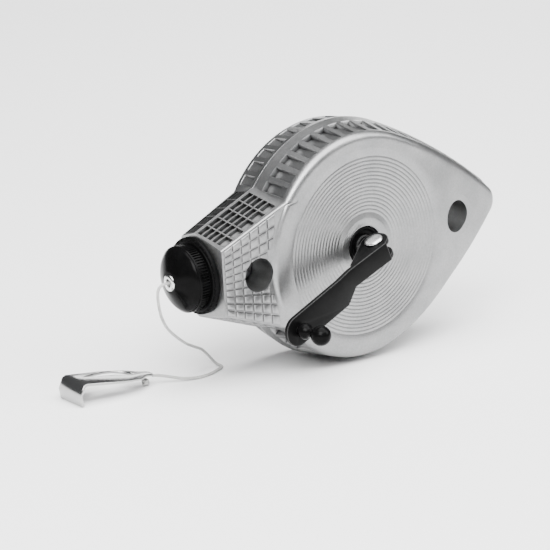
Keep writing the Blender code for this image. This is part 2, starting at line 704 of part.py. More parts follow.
def add_nozzle(neck_frame):
    """Collar in the neck's end, and the screw cap with its eyelet, felt and gasket."""
    barrel_radius = NECK_BORE_RADIUS - FIT_GAP
    barrel_end = 57.6 * MM
    thread_bore = THREAD_RADIUS + FIT_GAP
    rim_edge = 0.5 * MM
    collar = [
        (COLLAR_RADIUS - rim_edge, COLLAR_FRONT),
        (COLLAR_RADIUS, COLLAR_FRONT - rim_edge),
        (COLLAR_RADIUS, COLLAR_BACK),
        (barrel_radius, COLLAR_BACK),
        (barrel_radius, barrel_end),
        (thread_bore, barrel_end),
        (thread_bore, COLLAR_FRONT),
    ]
    add_turned("nozzle_collar", collar, "black_plastic", neck_frame)
    gasket_low = COLLAR_FRONT + FIT_GAP
    add_ring("cap_gasket", 10.0 * MM, 6.4 * MM, gasket_low, CAP_BACK - FIT_GAP, "rubber", neck_frame)

    felt_radius = 3.2 * MM
    felt_step = 63.8 * MM
    stem_end = 58.6 * MM
    line_bore = 2.3 * MM
    dome_foot = KNURL_FRONT + 0.3 * MM
    dome_height = CAP_NOSE - dome_foot
    dome_radius = KNURL_RADIUS - 0.5 * MM
    skirt_radius = 10.4 * MM
    skirt_end = COLLAR_FRONT + FIT_GAP
    shape = [(0.28, 1.0), (0.40, 0.9), (0.56, 0.72), (0.72, 0.52), (0.86, 0.32), (0.96, 0.13), (1.0, 0.0)]
    cap = [(dome_radius * across, dome_foot + dome_height * up) for across, up in shape]
    cap += [
        (KNURL_RADIUS, KNURL_FRONT),
        (KNURL_RADIUS, skirt_end),
        (skirt_radius, skirt_end),
        (skirt_radius, CAP_BACK),
        (THREAD_RADIUS, CAP_BACK),
        (THREAD_RADIUS, stem_end),
        (felt_radius + FIT_GAP, stem_end),
        (felt_radius + FIT_GAP, felt_step),
        (line_bore, felt_step),
        (line_bore, CAP_NOSE),
    ]
    add_turned("filler_cap", cap, "gloss_black", neck_frame)

    felt_bore = LINE_RADIUS + FIT_GAP
    add_ring("wiper_felt", felt_radius, felt_bore, 60.4 * MM, 63.5 * MM, "felt", neck_frame, SMALL_STEPS)
    add_ring("felt_retainer", felt_radius, 2.0 * MM, 58.9 * MM, 60.1 * MM, "black_plastic", neck_frame, SMALL_STEPS)
    tube_radius = line_bore - FIT_GAP
    eyelet_bore = 1.2 * MM
    eyelet_end = felt_step + 0.6 * MM
    flange_back = CAP_NOSE + FIT_GAP / 2
    lip = 0.3 * MM
    eyelet = [
        (1.7 * MM, EYELET_NOSE),
        (2.5 * MM, EYELET_NOSE),
        (3.0 * MM, EYELET_NOSE - lip),
        (3.0 * MM, flange_back),
        (tube_radius, flange_back),
        (tube_radius, eyelet_end),
        (eyelet_bore, eyelet_end),
        (eyelet_bore, EYELET_NOSE - lip),
    ]
    add_turned("line_eyelet", eyelet, "chrome", neck_frame, SMALL_STEPS)


# ---------------------------------------------------------------- line and hook

def smooth_route(route, spacing):
    """Points about one spacing apart on a smooth curve through the route's own points."""
    points = [Vector(point) for point in route]
    ends = [2 * points[0] - points[1]] + points + [2 * points[-1] - points[-2]]
    result = []
    for before, start, end, after in zip(ends, ends[1:], ends[2:], ends[3:]):
        steps = max(1, round((end - start).length / spacing))
        for step in range(steps):
            t = step / steps
            result.append(
                0.5 * (2 * start + (end - before) * t + (2 * before - 5 * start + 4 * end - after) * t ** 2
                       + (3 * start - before - 3 * end + after) * t ** 3)
            )
    return result + [points[-1]]


def add_line(name, route, frame):
    curve = bpy.data.curves.new(name, "CURVE")
    curve.dimensions = "3D"
    curve.bevel_depth = LINE_RADIUS
    curve.bevel_resolution = 2
    curve.use_fill_caps = True
    points = smooth_route(route, LINE_POINT_SPACING)
    spline = curve.splines.new("POLY")
    spline.points.add(len(points) - 1)
    for point, place in zip(spline.points, points):
        point.co = (*place, 1.0)
    return add_piece(name, curve, "cotton", frame)


def add_inner_run(case_frame):
    """Taut from the top of the wound line to the felt, then along the neck's axis to the eyelet."""
    lift = COIL_RADIUS + LINE_RADIUS + FIT_GAP
    bend_x = 58.0 * MM
    turn = atan2(sqrt(bend_x ** 2 - lift ** 2), lift)
    leave = (-lift * cos(turn), 0.0, lift * sin(turn))
    bend = (-bend_x, 0.0, 0.0)
    route = [
        leave,
        between(leave, bend, 0.5),
        between(leave, bend, 0.93),
        (-60.0 * MM, 0.0, 0.0),
        (-64.0 * MM, 0.0, 0.0),
        (-EYELET_NOSE, 0.0, 0.0),
    ]
    add_line("line_inner_run", route, case_frame)


# The line's way from the eyelet to the knot, in millimetres from a point on the floor below the
# spool's centre. It drops from the eyelet, turns on the floor and comes back to the hook.
FREE_ROUTE_MM = [
    (-74.7, 0.0, 38.94),
    (-76.7, 0.0, 38.8),
    (-78.2, 0.0, 37.8),
    (-78.8, 0.0, 35.6),
    (-78.3, 0.1, 31.4),
    (-76.6, 0.6, 26.4),
    (-72.4, 2.2, 20.9),
    (-63.6, 5.7, 14.2),
    (-56.2, 9.8, 10.2),
    (-50.6, 12.9, 7.4),
    (-47.0, 13.6, 4.2),
    (-45.1, 13.1, 1.9),
    (-44.2, 12.0, 0.8),
    (-43.8, 10.6, 0.6),
    (-44.3, 9.2, 0.6),
    (-45.6, 8.2, 0.6),
    (-48.2, 6.8, 0.6),
    (-51.9, 5.1, 0.6),
    (-56.2, 4.1, 0.6),
    (-60.8, 4.2, 0.75),
    (-65.2, 5.2, 1.3),
    (-69.4, 6.8, 2.3),
    (-73.0, 8.2, 3.1),
    (-75.3, 8.7, 3.4),
]


def add_hook(hook_frame):
    """A flat steel plate with a claw bent down at one end and a narrow tongue at the other."""
    upright = radians(90)
    top = [
        (-75.6 * MM, 4.7 * MM),
        (-107.7 * MM, 8.2 * MM),
        (-109.0 * MM, 7.6 * MM),
        (-110.5 * MM, 3.9 * MM),
        (-109.6 * MM, 0.1 * MM),
    ]
    side = strip(top[::-1], HOOK_SHEET)
    hook = add_sheet("end_hook", side, 10 * MM, "bright_steel", hook_frame, rotation=(upright, 0, 0))
    half = [
        (-112.0 * MM, 6.7 * MM),
        (-92.0 * MM, 7.3 * MM),
        (-83.5 * MM, 5.6 * MM),
        (-79.5 * MM, 2.4 * MM),
        (-76.9 * MM, 2.1 * MM),
        (-75.9 * MM, 1.2 * MM),
    ]
    plan = half + [(x, -y) for x, y in reversed(half)]
    tall = 20 * MM
    add_boolean(hook, "INTERSECT", add_sheet("hook_plan", plan, tall, None, hook_frame))
    opening = [
        (-103.0 * MM, 2.2 * MM),
        (-97.5 * MM, 4.6 * MM),
        (-92.0 * MM, 6.1 * MM),
        (-88.4 * MM, 5.9 * MM),
        (-85.4 * MM, 4.2 * MM),
        (-83.9 * MM, 1.6 * MM),
        (-84.0 * MM, -0.9 * MM),
        (-90.0 * MM, 1.2 * MM),
    ]
    add_boolean(hook, "DIFFERENCE", add_sheet("hook_opening", opening, tall, None, hook_frame))


def add_knot(hook_frame):
    """The knotted end of the line, which props the tongue up from the floor."""
    knot = bmesh.new()
    bmesh.ops.create_uvsphere(knot, u_segments=12, v_segments=8, radius=HOOK_KNOT_RADIUS)
    mesh = bpy.data.meshes.new("hook_knot")
    knot.to_mesh(mesh)
    knot.free()
    add_piece("hook_knot", mesh, "cotton", hook_frame, location=(HOOK_KNOT_X, 0, HOOK_KNOT_RADIUS + 0.1 * MM))


# ---------------------------------------------------------------- assembly

def add_materials():
    add_material("cast_metal", (0.62, 0.63, 0.64), 0.38, 0.9)
    add_material("black_plastic", (0.015, 0.015, 0.016), 0.45, 0.0)
    add_material("gloss_black", (0.01, 0.01, 0.011), 0.15, 0.0)
    add_material("black_paint", (0.018, 0.018, 0.019), 0.32, 0.2)
    add_material("grey_plastic", (0.25, 0.26, 0.27), 0.5, 0.0)
    add_material("steel", (0.6, 0.6, 0.6), 0.3, 1.0)
    add_material("bright_steel", (0.75, 0.75, 0.76), 0.2, 1.0)
    add_material("chrome", (0.85, 0.85, 0.86), 0.08, 1.0)
    add_material("rubber", (0.03, 0.03, 0.03), 0.8, 0.0)
    add_material("felt", (0.5, 0.48, 0.43), 0.95, 0.0)
    add_material("cotton", (0.85, 0.84, 0.8), 0.9, 0.0)


def build():
    clear_scene()
    bpy.context.scene.collection.children.link(PARTS)
    bpy.context.scene.collection.children.link(TOOLS)
    add_materials()

    centre = (SPOOL_X, SPOOL_Y, SPOOL_Z)
    case_frame = add_frame("case_frame", location=centre, rotation=(0, -CASE_TILT, 0))
    neck_frame = add_frame("neck_frame", case_frame, rotation=(0, radians(-90), 0))
    spool_frame = add_frame("spool_frame", location=centre, rotation=(radians(90), 0, 0))
    pin_height = FRONT["depth"] + PIN_HEIGHT
    crank_frame = add_frame("crank_frame", spool_frame, (0, 0, pin_height), (0, 0, CRANK_ANGLE))
    knob_frame = add_frame("knob_frame", crank_frame, (KNOB_X, 0, plate_top(KNOB_X)), (0, -PLATE_SLOPE, 0))
    floor_frame = add_frame("floor_frame", location=(SPOOL_X, SPOOL_Y, 0))
    hook_frame = add_frame("hook_frame", floor_frame, (0, HOOK_Y, 0))

    add_front_shell(case_frame, neck_frame)
    add_rear_shell(case_frame, neck_frame)
    add_case_screws(case_frame)
    add_spool(spool_frame)
    add_shaft(spool_frame, crank_frame)
    add_shaft_fittings(spool_frame)
    arm = add_crank_arm(crank_frame)
    add_crank_pin(crank_frame)
    add_knob(knob_frame, arm)
    add_nozzle(neck_frame)
    add_inner_run(case_frame)
    add_line("line_outer", [Vector(point) * MM for point in FREE_ROUTE_MM], floor_frame)
    add_hook(hook_frame)
    add_knot(hook_frame)


build()
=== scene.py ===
"""Chalk line reel: the finished surfaces, materials, light and camera, built round the CAD frame.

Metres, +Z up, in the frame of the CAD model. The reel stands on the round edge of its case, the
spool turns about Y, the crank is on the -Y side and the neck points to -X.
"""

import json
from math import atan2, cos, hypot, pi, radians, sin, sqrt

import bmesh
import bpy
from mathutils import Matrix, Vector


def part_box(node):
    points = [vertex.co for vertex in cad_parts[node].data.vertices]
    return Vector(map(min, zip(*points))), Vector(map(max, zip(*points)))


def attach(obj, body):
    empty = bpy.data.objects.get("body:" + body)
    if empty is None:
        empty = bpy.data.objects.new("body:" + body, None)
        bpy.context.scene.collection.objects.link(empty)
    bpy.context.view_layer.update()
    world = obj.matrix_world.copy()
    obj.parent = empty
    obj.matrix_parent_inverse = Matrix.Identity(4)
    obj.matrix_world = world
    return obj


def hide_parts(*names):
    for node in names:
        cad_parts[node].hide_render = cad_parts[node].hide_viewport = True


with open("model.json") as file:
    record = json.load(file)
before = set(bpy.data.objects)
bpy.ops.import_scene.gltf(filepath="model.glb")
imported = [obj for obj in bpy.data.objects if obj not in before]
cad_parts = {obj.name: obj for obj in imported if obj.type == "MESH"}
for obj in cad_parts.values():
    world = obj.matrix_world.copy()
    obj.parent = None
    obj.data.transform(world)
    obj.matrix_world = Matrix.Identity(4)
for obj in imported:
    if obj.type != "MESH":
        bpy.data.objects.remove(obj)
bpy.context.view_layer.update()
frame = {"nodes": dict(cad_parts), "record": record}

MM = 0.001

# Places read from the frame: the spool axis, and the plane between the case's halves
WOUND_LOW, WOUND_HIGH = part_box("wound_line")
PARTING_Y = (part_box("front_shell")[1].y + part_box("rear_shell")[0].y) / 2
CENTRE = Vector(((WOUND_LOW.x + WOUND_HIGH.x) / 2, PARTING_Y, (WOUND_LOW.z + WOUND_HIGH.z) / 2))

# Case, in its own frame: x from the spool axis to the tail, z across, depth from the parting plane
RIM_RADIUS = 43.9 * MM
WALL = 2.3 * MM
CASE_TILT = radians(3.8)
SIDE_DRAFT = 0.16
FACE_EDGE_RADIUS = 2.6 * MM
EDGE_STEPS = 5
SEAM = 0.03 * MM                # half of the gap between the two halves
SEAM_CHAMFER = 0.03 * MM

FRONT = {
    "side": 1,
    "depth": 17.5 * MM,
    "neck": 16.2 * MM,
    "tail_fall": 0.27,
    "neck_fall": 0.04,
    "neck_draft": 0.2,
    "slot": (4.4 * MM, 14.2 * MM),
    "window": (0.9 * MM, 14.4 * MM),
}
REAR = {
    "side": -1,
    "depth": 12.6 * MM,
    "neck": 9.4 * MM,
    "tail_fall": 0.15,
    "neck_fall": 0.06,
    "neck_draft": 0.26,
    "slot": (2.2 * MM, 9.2 * MM),
    "window": (0.9 * MM, 7.6 * MM),
}

FLANK_RADIUS = 226.0 * MM
FLANK_TANGENT = radians(65)
TAIL_TIP_RADIUS = 8.4 * MM
SMALLEST_TIP_RADIUS = 0.5 * MM
TAIL_FALL_RADIUS = 36.0 * MM
TAIL_FALL_FULL = radians(25)
TAIL_FALL_NONE = radians(60)
TAIL_HOLE_X = 45.8 * MM
HOLE_RADIUS = 6.0 * MM

NECK_END_X = -61.9 * MM
NECK_END_HALF_WIDTH = 15.4 * MM
NECK_ROOT_X = -40.0 * MM
NECK_ROOT_HALF_WIDTH = 24.3 * MM
NECK_EDGE_RADIUS = 0.8 * MM
NECK_SHOULDER_RADIUS = 40.6 * MM
# The shoulder between the neck and the round face, as (radius in mm, share of the rise)
SHOULDER_STEPS = ((41.4, 0.0), (40.9, 0.1), (40.5, 0.45), (40.0, 0.85), (39.2, 1.0))
NECK_BORE_RADIUS = 6.2 * MM
NECK_BORE_LENGTH = 7.0 * MM
POCKET_X = -46.8 * MM
POCKET_FLOOR_DEPTH = 4.0 * MM

OUTLINE_STEPS = {"tip": 8, "flank": 18, "body": 56, "neck": 10, "end": 6}

HUB_RADIUS = 7.0 * MM
HUB_GAP = 0.3 * MM
GROOVE_FIRST = 32.7 * MM        # the outermost of the fine rings on the face
GROOVE_PITCH = 1.36 * MM
GROOVE_COUNT = 16
GROOVE_SECTION = ((0.32, 0.0), (0.1, 0.13), (-0.1, 0.13), (-0.32, 0.0))  # mm across and down
# The raised ring round the hub, as (radius, rise) in mm
HUB_RING = ((11.0, 0.0), (10.7, 0.16), (10.2, 0.26), (8.3, 0.26), (7.8, 0.16), (7.3, -0.1))
HUB_BOSS_RADIUS = 8.5 * MM
HUB_BOSS_BACK = 8.0 * MM
HUB_BOSS_DROP = 0.5 * MM

SCREW_RING_RADIUS = 35.6 * MM
SCREW_ANGLES = (radians(48), radians(132), radians(228), radians(312))
SCREW_HEAD_RADIUS = 2.8 * MM
SCREW_HEAD_GAP = 0.3 * MM
SCREW_SEAT_DEPTH = 9.6 * MM
SCREW_HOLE_RADIUS = 1.7 * MM
SCREW_BOSS_RADIUS = 4.0 * MM
SCREW_STEPS = 32
SCREW_HOLE_STEPS = 24
CUT_PAST = 5 * MM               # how far the holes' cutters reach past the face

# Pockets round the rim, windows on the neck's flanks and pads on its face
RIM_PITCH = 6.15 * MM
RIM_SLOT_WIDTH = 3.9 * MM
RIM_SLOT_DEPTHS = (1.9 * MM, 0.25 * MM)
RIM_FIRST_ANGLE = radians(141)
RIM_LAST_X = 60.0 * MM
RIM_TAIL_LOSS = 0.45            # the share of their length that the pockets lose up to the last one
RIM_FLARE = 0.22 * MM           # how far each step of a pocket's mouth is outside the one below
RIM_CUT_RISE = 1.5 * MM
WINDOW_COUNT = 5
WINDOW_LEAD = 2.3 * MM          # how far the windows start before the neck's root
WINDOW_SHIFT = 0.3 * MM
WINDOW_BAR = 0.55 * MM          # what is left between two windows
WINDOW_RIBS = 4
WINDOW_RIB = 0.38 * MM
WINDOW_LAST_SHARE = 1.7         # the channel beside the face is wider than the others
WINDOW_DEPTH = 1.35 * MM
WINDOW_FLARE = 0.1 * MM
WINDOW_END_FLARE = 0.15 * MM
PAD_COLUMNS = (-38.8, -42.5, -46.3, -50.1, -53.9, -57.6, -61.2)  # mm
PAD_ROWS = 10
PAD_SECTION = ((-0.5, 0.0), (0.1, 0.0), (0.75, 0.2), (1.0, 0.5))  # share of the rise, mm in
PAD_GAP = 0.5 * MM
PAD_RISE = 0.5 * MM
PAD_OVERHANG = 0.3 * MM         # how far the rows reach into the face's rounded edge
PAD_SHOULDER_GAP = 0.9 * MM
PAD_POCKET_GAP = 0.15 * MM
PAD_SHORTEST = 1.5 * MM

# Hub: its recessed middle, the lip round it, and the flange and stem behind the face
HUB_DROP = 0.1 * MM
HUB_FLOOR_DROP = 1.0 * MM
HUB_BORE_RADIUS = 4.3 * MM
HUB_FLOOR_EDGE = ((5.0, -0.05), (5.6, 0.15))  # mm, from the floor
HUB_LIP = ((6.0, -0.25), (6.3, 0.0), (6.7, 0.0), (6.9, -0.2))  # mm, from the face
HUB_SIDE_DROP = 0.6 * MM
HUB_FLANGE_RADIUS = 9.5 * MM
HUB_FLANGE_TOP = 14.9 * MM
HUB_FLANGE_BACK = 13.2 * MM
HUB_STEM_RADIUS = 6.2 * MM
HUB_STEM_BACK = 12.4 * MM

# Crank, its rivet and its knob
FACE_TO_PIN = 6.5 * MM
PIN_RADIUS = 1.6 * MM
PIN_HEAD_RADIUS = 3.4 * MM
PIN_HEAD_HEIGHT = 1.1 * MM
PIN_HEAD_RIM_SHARE = 0.15       # the upright rim's share of the head's height
PIN_HEAD_STEPS = 8
PIN_HEAD_GAP = 0.3 * MM
CRANK_EDGE = 0.32 * MM
CRANK_ANGLE = radians(204)
PLATE_START_X = 24.5 * MM
PLATE_START_TOP = 9.3 * MM
PLATE_SLOPE = radians(4)
KNOB_X = 47.4 * MM
WEB_HALF_WIDTH = 3.65 * MM
KNOB_GAP = 0.3 * MM
KNOB_TOP = 14.3 * MM
KNOB_BALL_HEIGHT = 10.7 * MM
KNOB_BALL_RADIUS = 3.6 * MM
KNOB_BALL_ARC = (radians(90), radians(-55), 22)
KNOB_NECK = ((1.62, 7.2), (1.55, 6.4), (1.6, 5.4), (1.8, 4.8))  # (radius, height) in mm
KNOB_BASE_HEIGHT = 2.5 * MM
KNOB_BASE_RADIUS = 2.9 * MM
KNOB_BASE_ARC = (radians(45), radians(-50), 14)
KNOB_FOOT_RADIUS = 1.9 * MM
KNOB_BORE_RADIUS = 1.5 * MM
KNOB_BORE_TOP = 9.4 * MM

# Nozzle: distances from the spool axis along the neck
COLLAR_BACK = 62.2 * MM
COLLAR_FRONT = 64.3 * MM
COLLAR_RADIUS = 13.9 * MM
COLLAR_LIP = ((12.6, 0.0), (12.9, 0.35), (13.4, 0.45), (13.7, 0.6), (13.9, 0.9))  # mm out and back
COLLAR_EDGE = 0.25 * MM
COLLAR_BORE_RADIUS = 4.7 * MM
COLLAR_STEM_RADIUS = 5.9 * MM
COLLAR_STEM_BACK = 57.6 * MM
COLLAR_STEPS = 120
STUD_COUNT = 30
STUD_RADIUS = 0.42 * MM
STUD_RING_RADIUS = 13.35 * MM
STUD_DROP = 0.5 * MM
CAP_BACK = 65.5 * MM
CAP_GAP = 0.3 * MM
KNURL_RADIUS = 12.0 * MM
KNURL_FRONT = 69.0 * MM
KNURL_RIBS = 70
KNURL_STEPS_PER_RIB = 4
KNURL_DEPTH = 0.55 * MM
KNURL_EDGE = ((0.45, 0.0), (0.12, 0.1), (0.0, 0.35), (0.0, 0.65), (0.0, 0.75))  # mm in and back
SKIRT_EDGE = ((0.0, 0.5), (0.0, 0.4), (0.1, 0.0))  # mm in and on
# The cap's dome, as (share of its radius, share of its height)
CAP_DOME = (
    (0.28, 1.0), (0.34, 0.965), (0.40, 0.905), (0.48, 0.82), (0.56, 0.725), (0.64, 0.63),
    (0.72, 0.53), (0.80, 0.42), (0.87, 0.31), (0.93, 0.20), (0.975, 0.09), (1.0, 0.0),
)
DOME_STEP = 0.25 * MM
DOME_INSET = 0.5 * MM
CAP_NOSE = 73.9 * MM
CAP_NOSE_BORE = (2.3 * MM, CAP_NOSE - 0.1 * MM)
CAP_SKIRT_BORE_RADIUS = 10.4 * MM
CAP_STEM_RADIUS = 4.4 * MM
CAP_STEM_BACK = 58.6 * MM
CAP_STEM_BORE = (3.5 * MM, 63.8 * MM)
EYELET_NOSE = 74.6 * MM
EYELET_LIP = ((1.5, 0.3), (1.6, 0.08), (1.85, 0.0), (2.1, 0.02), (2.6, 0.15), (2.95, 0.4))  # mm
EYELET_RADIUS = 3.0 * MM
EYELET_GAP = 0.05 * MM
EYELET_TUBE_RADIUS = 2.0 * MM
EYELET_TUBE_BACK = 64.4 * MM
EYELET_BORE_RADIUS = 1.5 * MM

# Line and hook
LINE_RADIUS = 0.55 * MM
HOOK_Y = 8.8 * MM
HOOK_KNOT_X = -78.2 * MM
HOOK_KNOT_RADIUS = 1.4 * MM
HOOK_EDGE = 0.22 * MM
HOOK_SLOT = ((-82.6, 2.0), (-79.9, 1.1), (-79.7, 1.7), (-82.4, 2.7))  # mm
HOOK_SLOT_TOP = 20 * MM
LINE_SPACING = 0.28 * MM
STRAND_REACH = (0.80, 0.20)     # the radius in the valleys, and what the strands add, as shares
KNOT_POINTS = 260
KNOT_POINTS_PER_TURN = 130
KNOT_LEAN = 1.5                 # how often the wraps rise and fall in a turn
KNOT_SWELL = 0.12
KNOT_NARROWING = 0.9
KNOT_RISE = 0.75
KNOT_LIFT = 0.1 * MM
# The line's way from the eyelet to the knot, in metres from a point on the floor below the
# spool's centre
FREE_ROUTE = [
    (-0.0747, 0.0, 0.03894), (-0.0767, 0.0, 0.0388), (-0.0782, 0.0, 0.0378),
    (-0.0788, 0.0, 0.0356), (-0.0783, 0.0001, 0.0314), (-0.0766, 0.0006, 0.0264),
    (-0.0724, 0.0022, 0.0209), (-0.0636, 0.0057, 0.0142), (-0.0562, 0.0098, 0.0102),
    (-0.0506, 0.0129, 0.0074), (-0.047, 0.0136, 0.0042), (-0.0451, 0.0131, 0.0019),
    (-0.0442, 0.012, 0.0008), (-0.0438, 0.0106, 0.0006), (-0.0443, 0.0092, 0.0006),
    (-0.0456, 0.0082, 0.0006), (-0.0482, 0.0068, 0.0006), (-0.0519, 0.0051, 0.0006),
    (-0.0562, 0.0041, 0.0006), (-0.0608, 0.0042, 0.00075), (-0.0652, 0.0052, 0.0013),
    (-0.0694, 0.0068, 0.0023), (-0.073, 0.0082, 0.0031), (-0.0753, 0.0087, 0.0034),
]

# Camera: its place is in mm from the middle of the round face
CAMERA_RIGHT = (0.7894, -0.6139, 0.0)
CAMERA_UP = (0.1664, 0.2140, 0.9626)
CAMERA_PLACE = (-660.8, -797.2, 280.6)
CAMERA_LENS = 196.36
CAMERA_SENSOR = 36.0

# Lights, as (name, place in m, size in m, power in W), the world's light and the floor
LIGHTS = (
    ("key", (-0.9, -0.8, 1.1), (0.9, 0.9), 55.0),
    ("fill", (1.3, -1.1, 1.1), (1.0, 1.0), 24.0),
    ("top", (0.1, -0.4, 1.8), (2.2, 2.2), 140.0),
    ("back", (0.85, 1.02, 0.3), (0.6, 0.3), 2.6),
)
WORLD_COLOUR = (0.9, 0.92, 0.95, 1.0)
WORLD_STRENGTH = 0.15
FLOOR_HALF_WIDTH = 3.0
FLOOR_DROP = 0.05 * MM

# Materials
MOULDING_IOR = 1.11
PAINT_IOR = 1.13
RECESS_SHADE_RANGE = (0.35, 0.92)      # the openness where the painted shade in recesses is full, and where it ends
EDGE_WEAR_AND_LIGHT_RANGE = (0.86, 0.985)      # the same for the edges' wear and painted edge light, by how near the rounded normal is to the flat one
SCRATCH_SCALE = (120.0, 2200.0, 2200.0)
# The shaft's end shows in the hub, and is painted with the crank
BLACKENED = {"spool_shaft": "black_paint"}

CASE = Matrix.Translation(CENTRE) @ Matrix.Rotation(-CASE_TILT, 4, "Y")
NECK = CASE @ Matrix.Rotation(radians(-90), 4, "Y")
SPOOL = Matrix.Translation(CENTRE) @ Matrix.Rotation(radians(90), 4, "X")
PIN = SPOOL @ Matrix.Translation((0, 0, FRONT["depth"] + FACE_TO_PIN))
CRANK = PIN @ Matrix.Rotation(CRANK_ANGLE, 4, "Z")
PLATE_TOP = PLATE_START_TOP + (KNOB_X - PLATE_START_X) * sin(PLATE_SLOPE)
KNOB = CRANK @ Matrix.Translation((KNOB_X, 0, PLATE_TOP)) @ Matrix.Rotation(-PLATE_SLOPE, 4, "Y")
FLOOR = Matrix.Translation((CENTRE.x, CENTRE.y, 0))
HOOK = Matrix.Translation((CENTRE.x, CENTRE.y + HOOK_Y, 0))
CROSSWISE = Matrix.Rotation(radians(90), 4, "X")

SCENE = bpy.context.scene


# -------------------- camera and line

def add_camera():
    """Where the reel is seen from: a long lens, on the neck's side and a little above."""
    right = Vector(CAMERA_RIGHT)
    up = Vector(CAMERA_UP)
    back = right.cross(up).normalized()
    data = bpy.data.cameras.new("camera")
    data.sensor_width = CAMERA_SENSOR
    data.lens = CAMERA_LENS
    camera = bpy.data.objects.new("camera", data)
    face = CENTRE - Vector((0, FRONT["depth"], 0))
    place = face + Vector(CAMERA_PLACE) * MM
    turn = Matrix((right, up, back)).transposed().to_4x4()
    camera.matrix_world = Matrix.Translation(place) @ turn
    SCENE.collection.objects.link(camera)
    SCENE.camera = camera


def smooth_route(route, spacing):
    """Points about one spacing apart on a smooth (Catmull-Rom) curve through the route's points."""
    points = [Vector(point) for point in route]
    ends = [2 * points[0] - points[1]] + points + [2 * points[-1] - points[-2]]
    result = []
    for before, start, end, after in zip(ends, ends[1:], ends[2:], ends[3:]):
        slope = end - before
        bend = 2 * before - 5 * start + 4 * end - after
        twist = 3 * start - before - 3 * end + after
        steps = max(1, round((end - start).length / spacing))
        for step in range(steps):
            t = step / steps
            result.append(0.5 * (2 * start + slope * t + bend * t ** 2 + twist * t ** 3))
    return result + [points[-1]]


def twisted_line(name, points, radius, strands=3, lay=3.4 * MM, sides=18):
    """A tube along the points whose section is a few round strands, turning as it goes."""
    built = bmesh.new()
    valley, swell = STRAND_REACH
    side = Vector((0, 1, 0))
    travelled = 0.0
    rings = []
    for i, point in enumerate(points):
        along = (points[min(i + 1, len(points) - 1)] - points[max(i - 1, 0)]).normalized()
        side = (side - along * side.dot(along)).normalized()
        other = along.cross(side)
        if i:
            travelled += (point - points[i - 1]).length
        ring = []
        for k in range(sides):
            angle = 2 * pi * k / sides
            strand = abs(cos(strands / 2 * (angle - 2 * pi * travelled / lay)))
            reach = radius * (valley + swell * sqrt(strand))
            ring.append(built.verts.new(point + (side * cos(angle) + other * sin(angle)) * reach))
        rings.append(ring)
    loft(built, rings)
    return to_object(name, built, Matrix())


# -------------------- mesh helpers

def to_object(name, built, place, angle=radians(35)):
    """The bmesh as an object of the scene, its vertices moved to their place in the frame."""
    bmesh.ops.recalc_face_normals(built, faces=built.faces)
    mesh = bpy.data.meshes.new(name)
    built.to_mesh(mesh)
    built.free()
    mesh.transform(place)
    mesh.shade_smooth()
    mesh.set_sharp_from_angle(angle=angle)
    made = bpy.data.objects.new(name, mesh)
    SCENE.collection.objects.link(made)
    return made


def loft(built, rings):
    """Joins rings of as many points each with four-sided faces, and closes both ends."""
    count = len(rings[0])
    for ring, after in zip(rings, rings[1:]):
        for k in range(count):
            built.faces.new((ring[k], ring[(k + 1) % count], after[(k + 1) % count], after[k]))
    built.faces.new(rings[0][::-1])
    built.faces.new(rings[-1])


def applied(made):
    """Bakes the object's modifiers into its mesh."""
    bpy.context.view_layer.update()
    mesh = bpy.data.meshes.new_from_object(made.evaluated_get(bpy.context.evaluated_depsgraph_get()))
    made.modifiers.clear()
    made.data = mesh
    return made


def combine(target, operation, tool):
    """Joins the tool to the target, or cuts it out, and removes the tool."""
    modifier = target.modifiers.new(operation.lower(), "BOOLEAN")
    modifier.operation = operation
    modifier.solver = "EXACT"
    modifier.object = tool
    applied(target)
    bpy.data.objects.remove(tool)


def joined(name, pieces):
    """One object made of the pieces' meshes, side by side."""
    built = bmesh.new()
    for piece in pieces:
        built.from_mesh(piece.data)
        bpy.data.objects.remove(piece)
    return to_object(name, built, Matrix())


def bevelled(made, width, segments=2, angle=radians(40)):
    """Rounds the edges that are sharper than the angle."""
    modifier = made.modifiers.new("edges", "BEVEL")
    modifier.width = width
    modifier.segments = segments
    modifier.limit_method = "ANGLE"
    modifier.angle_limit = angle
    modifier.use_clamp_overlap = True
    applied(made)
    made.data.shade_smooth()
    made.data.set_sharp_from_angle(angle=radians(50))
    return made


def arc(centre, radius, start, end, steps):
    """Points on a round arc, both of its ends among them."""
    angles = [start + (end - start) * i / steps for i in range(steps + 1)]
    return [(centre[0] + radius * cos(a), centre[1] + radius * sin(a)) for a in angles]


def straight(start, end, steps):
    """Points on a straight stretch, both of its ends among them."""
    shares = [i / steps for i in range(steps + 1)]
    return [tuple(a + (b - a) * share for a, b in zip(start, end)) for share in shares]


def turned(name, profile, place, steps=96, relief=None):
    """A closed piece turned about its own Z. The profile is (radius, height) and closes on itself,
    or starts and ends on the axis. A relief adds to the radius, by profile point and step."""
    built = bmesh.new()
    rings = []
    for index, (radius, height) in enumerate(profile):
        if radius == 0:
            rings.append([built.verts.new((0, 0, height))] * steps)
            continue
        ring = []
        for step in range(steps):
            angle = 2 * pi * step / steps
            reach = radius + (relief(index, step) if relief else 0.0)
            ring.append(built.verts.new((reach * cos(angle), reach * sin(angle), height)))
        rings.append(ring)
    closed = profile[0][0] > 0
    pairs = list(zip(rings, rings[1:] + rings[:1])) if closed else list(zip(rings, rings[1:]))
    for ring, after in pairs:
        for k in range(steps):
            corners = [ring[k], ring[(k + 1) % steps], after[(k + 1) % steps], after[k]]
            corners = list(dict.fromkeys(corners))
            if len(corners) > 2:
                built.faces.new(corners)
    return to_object(name, built, place)


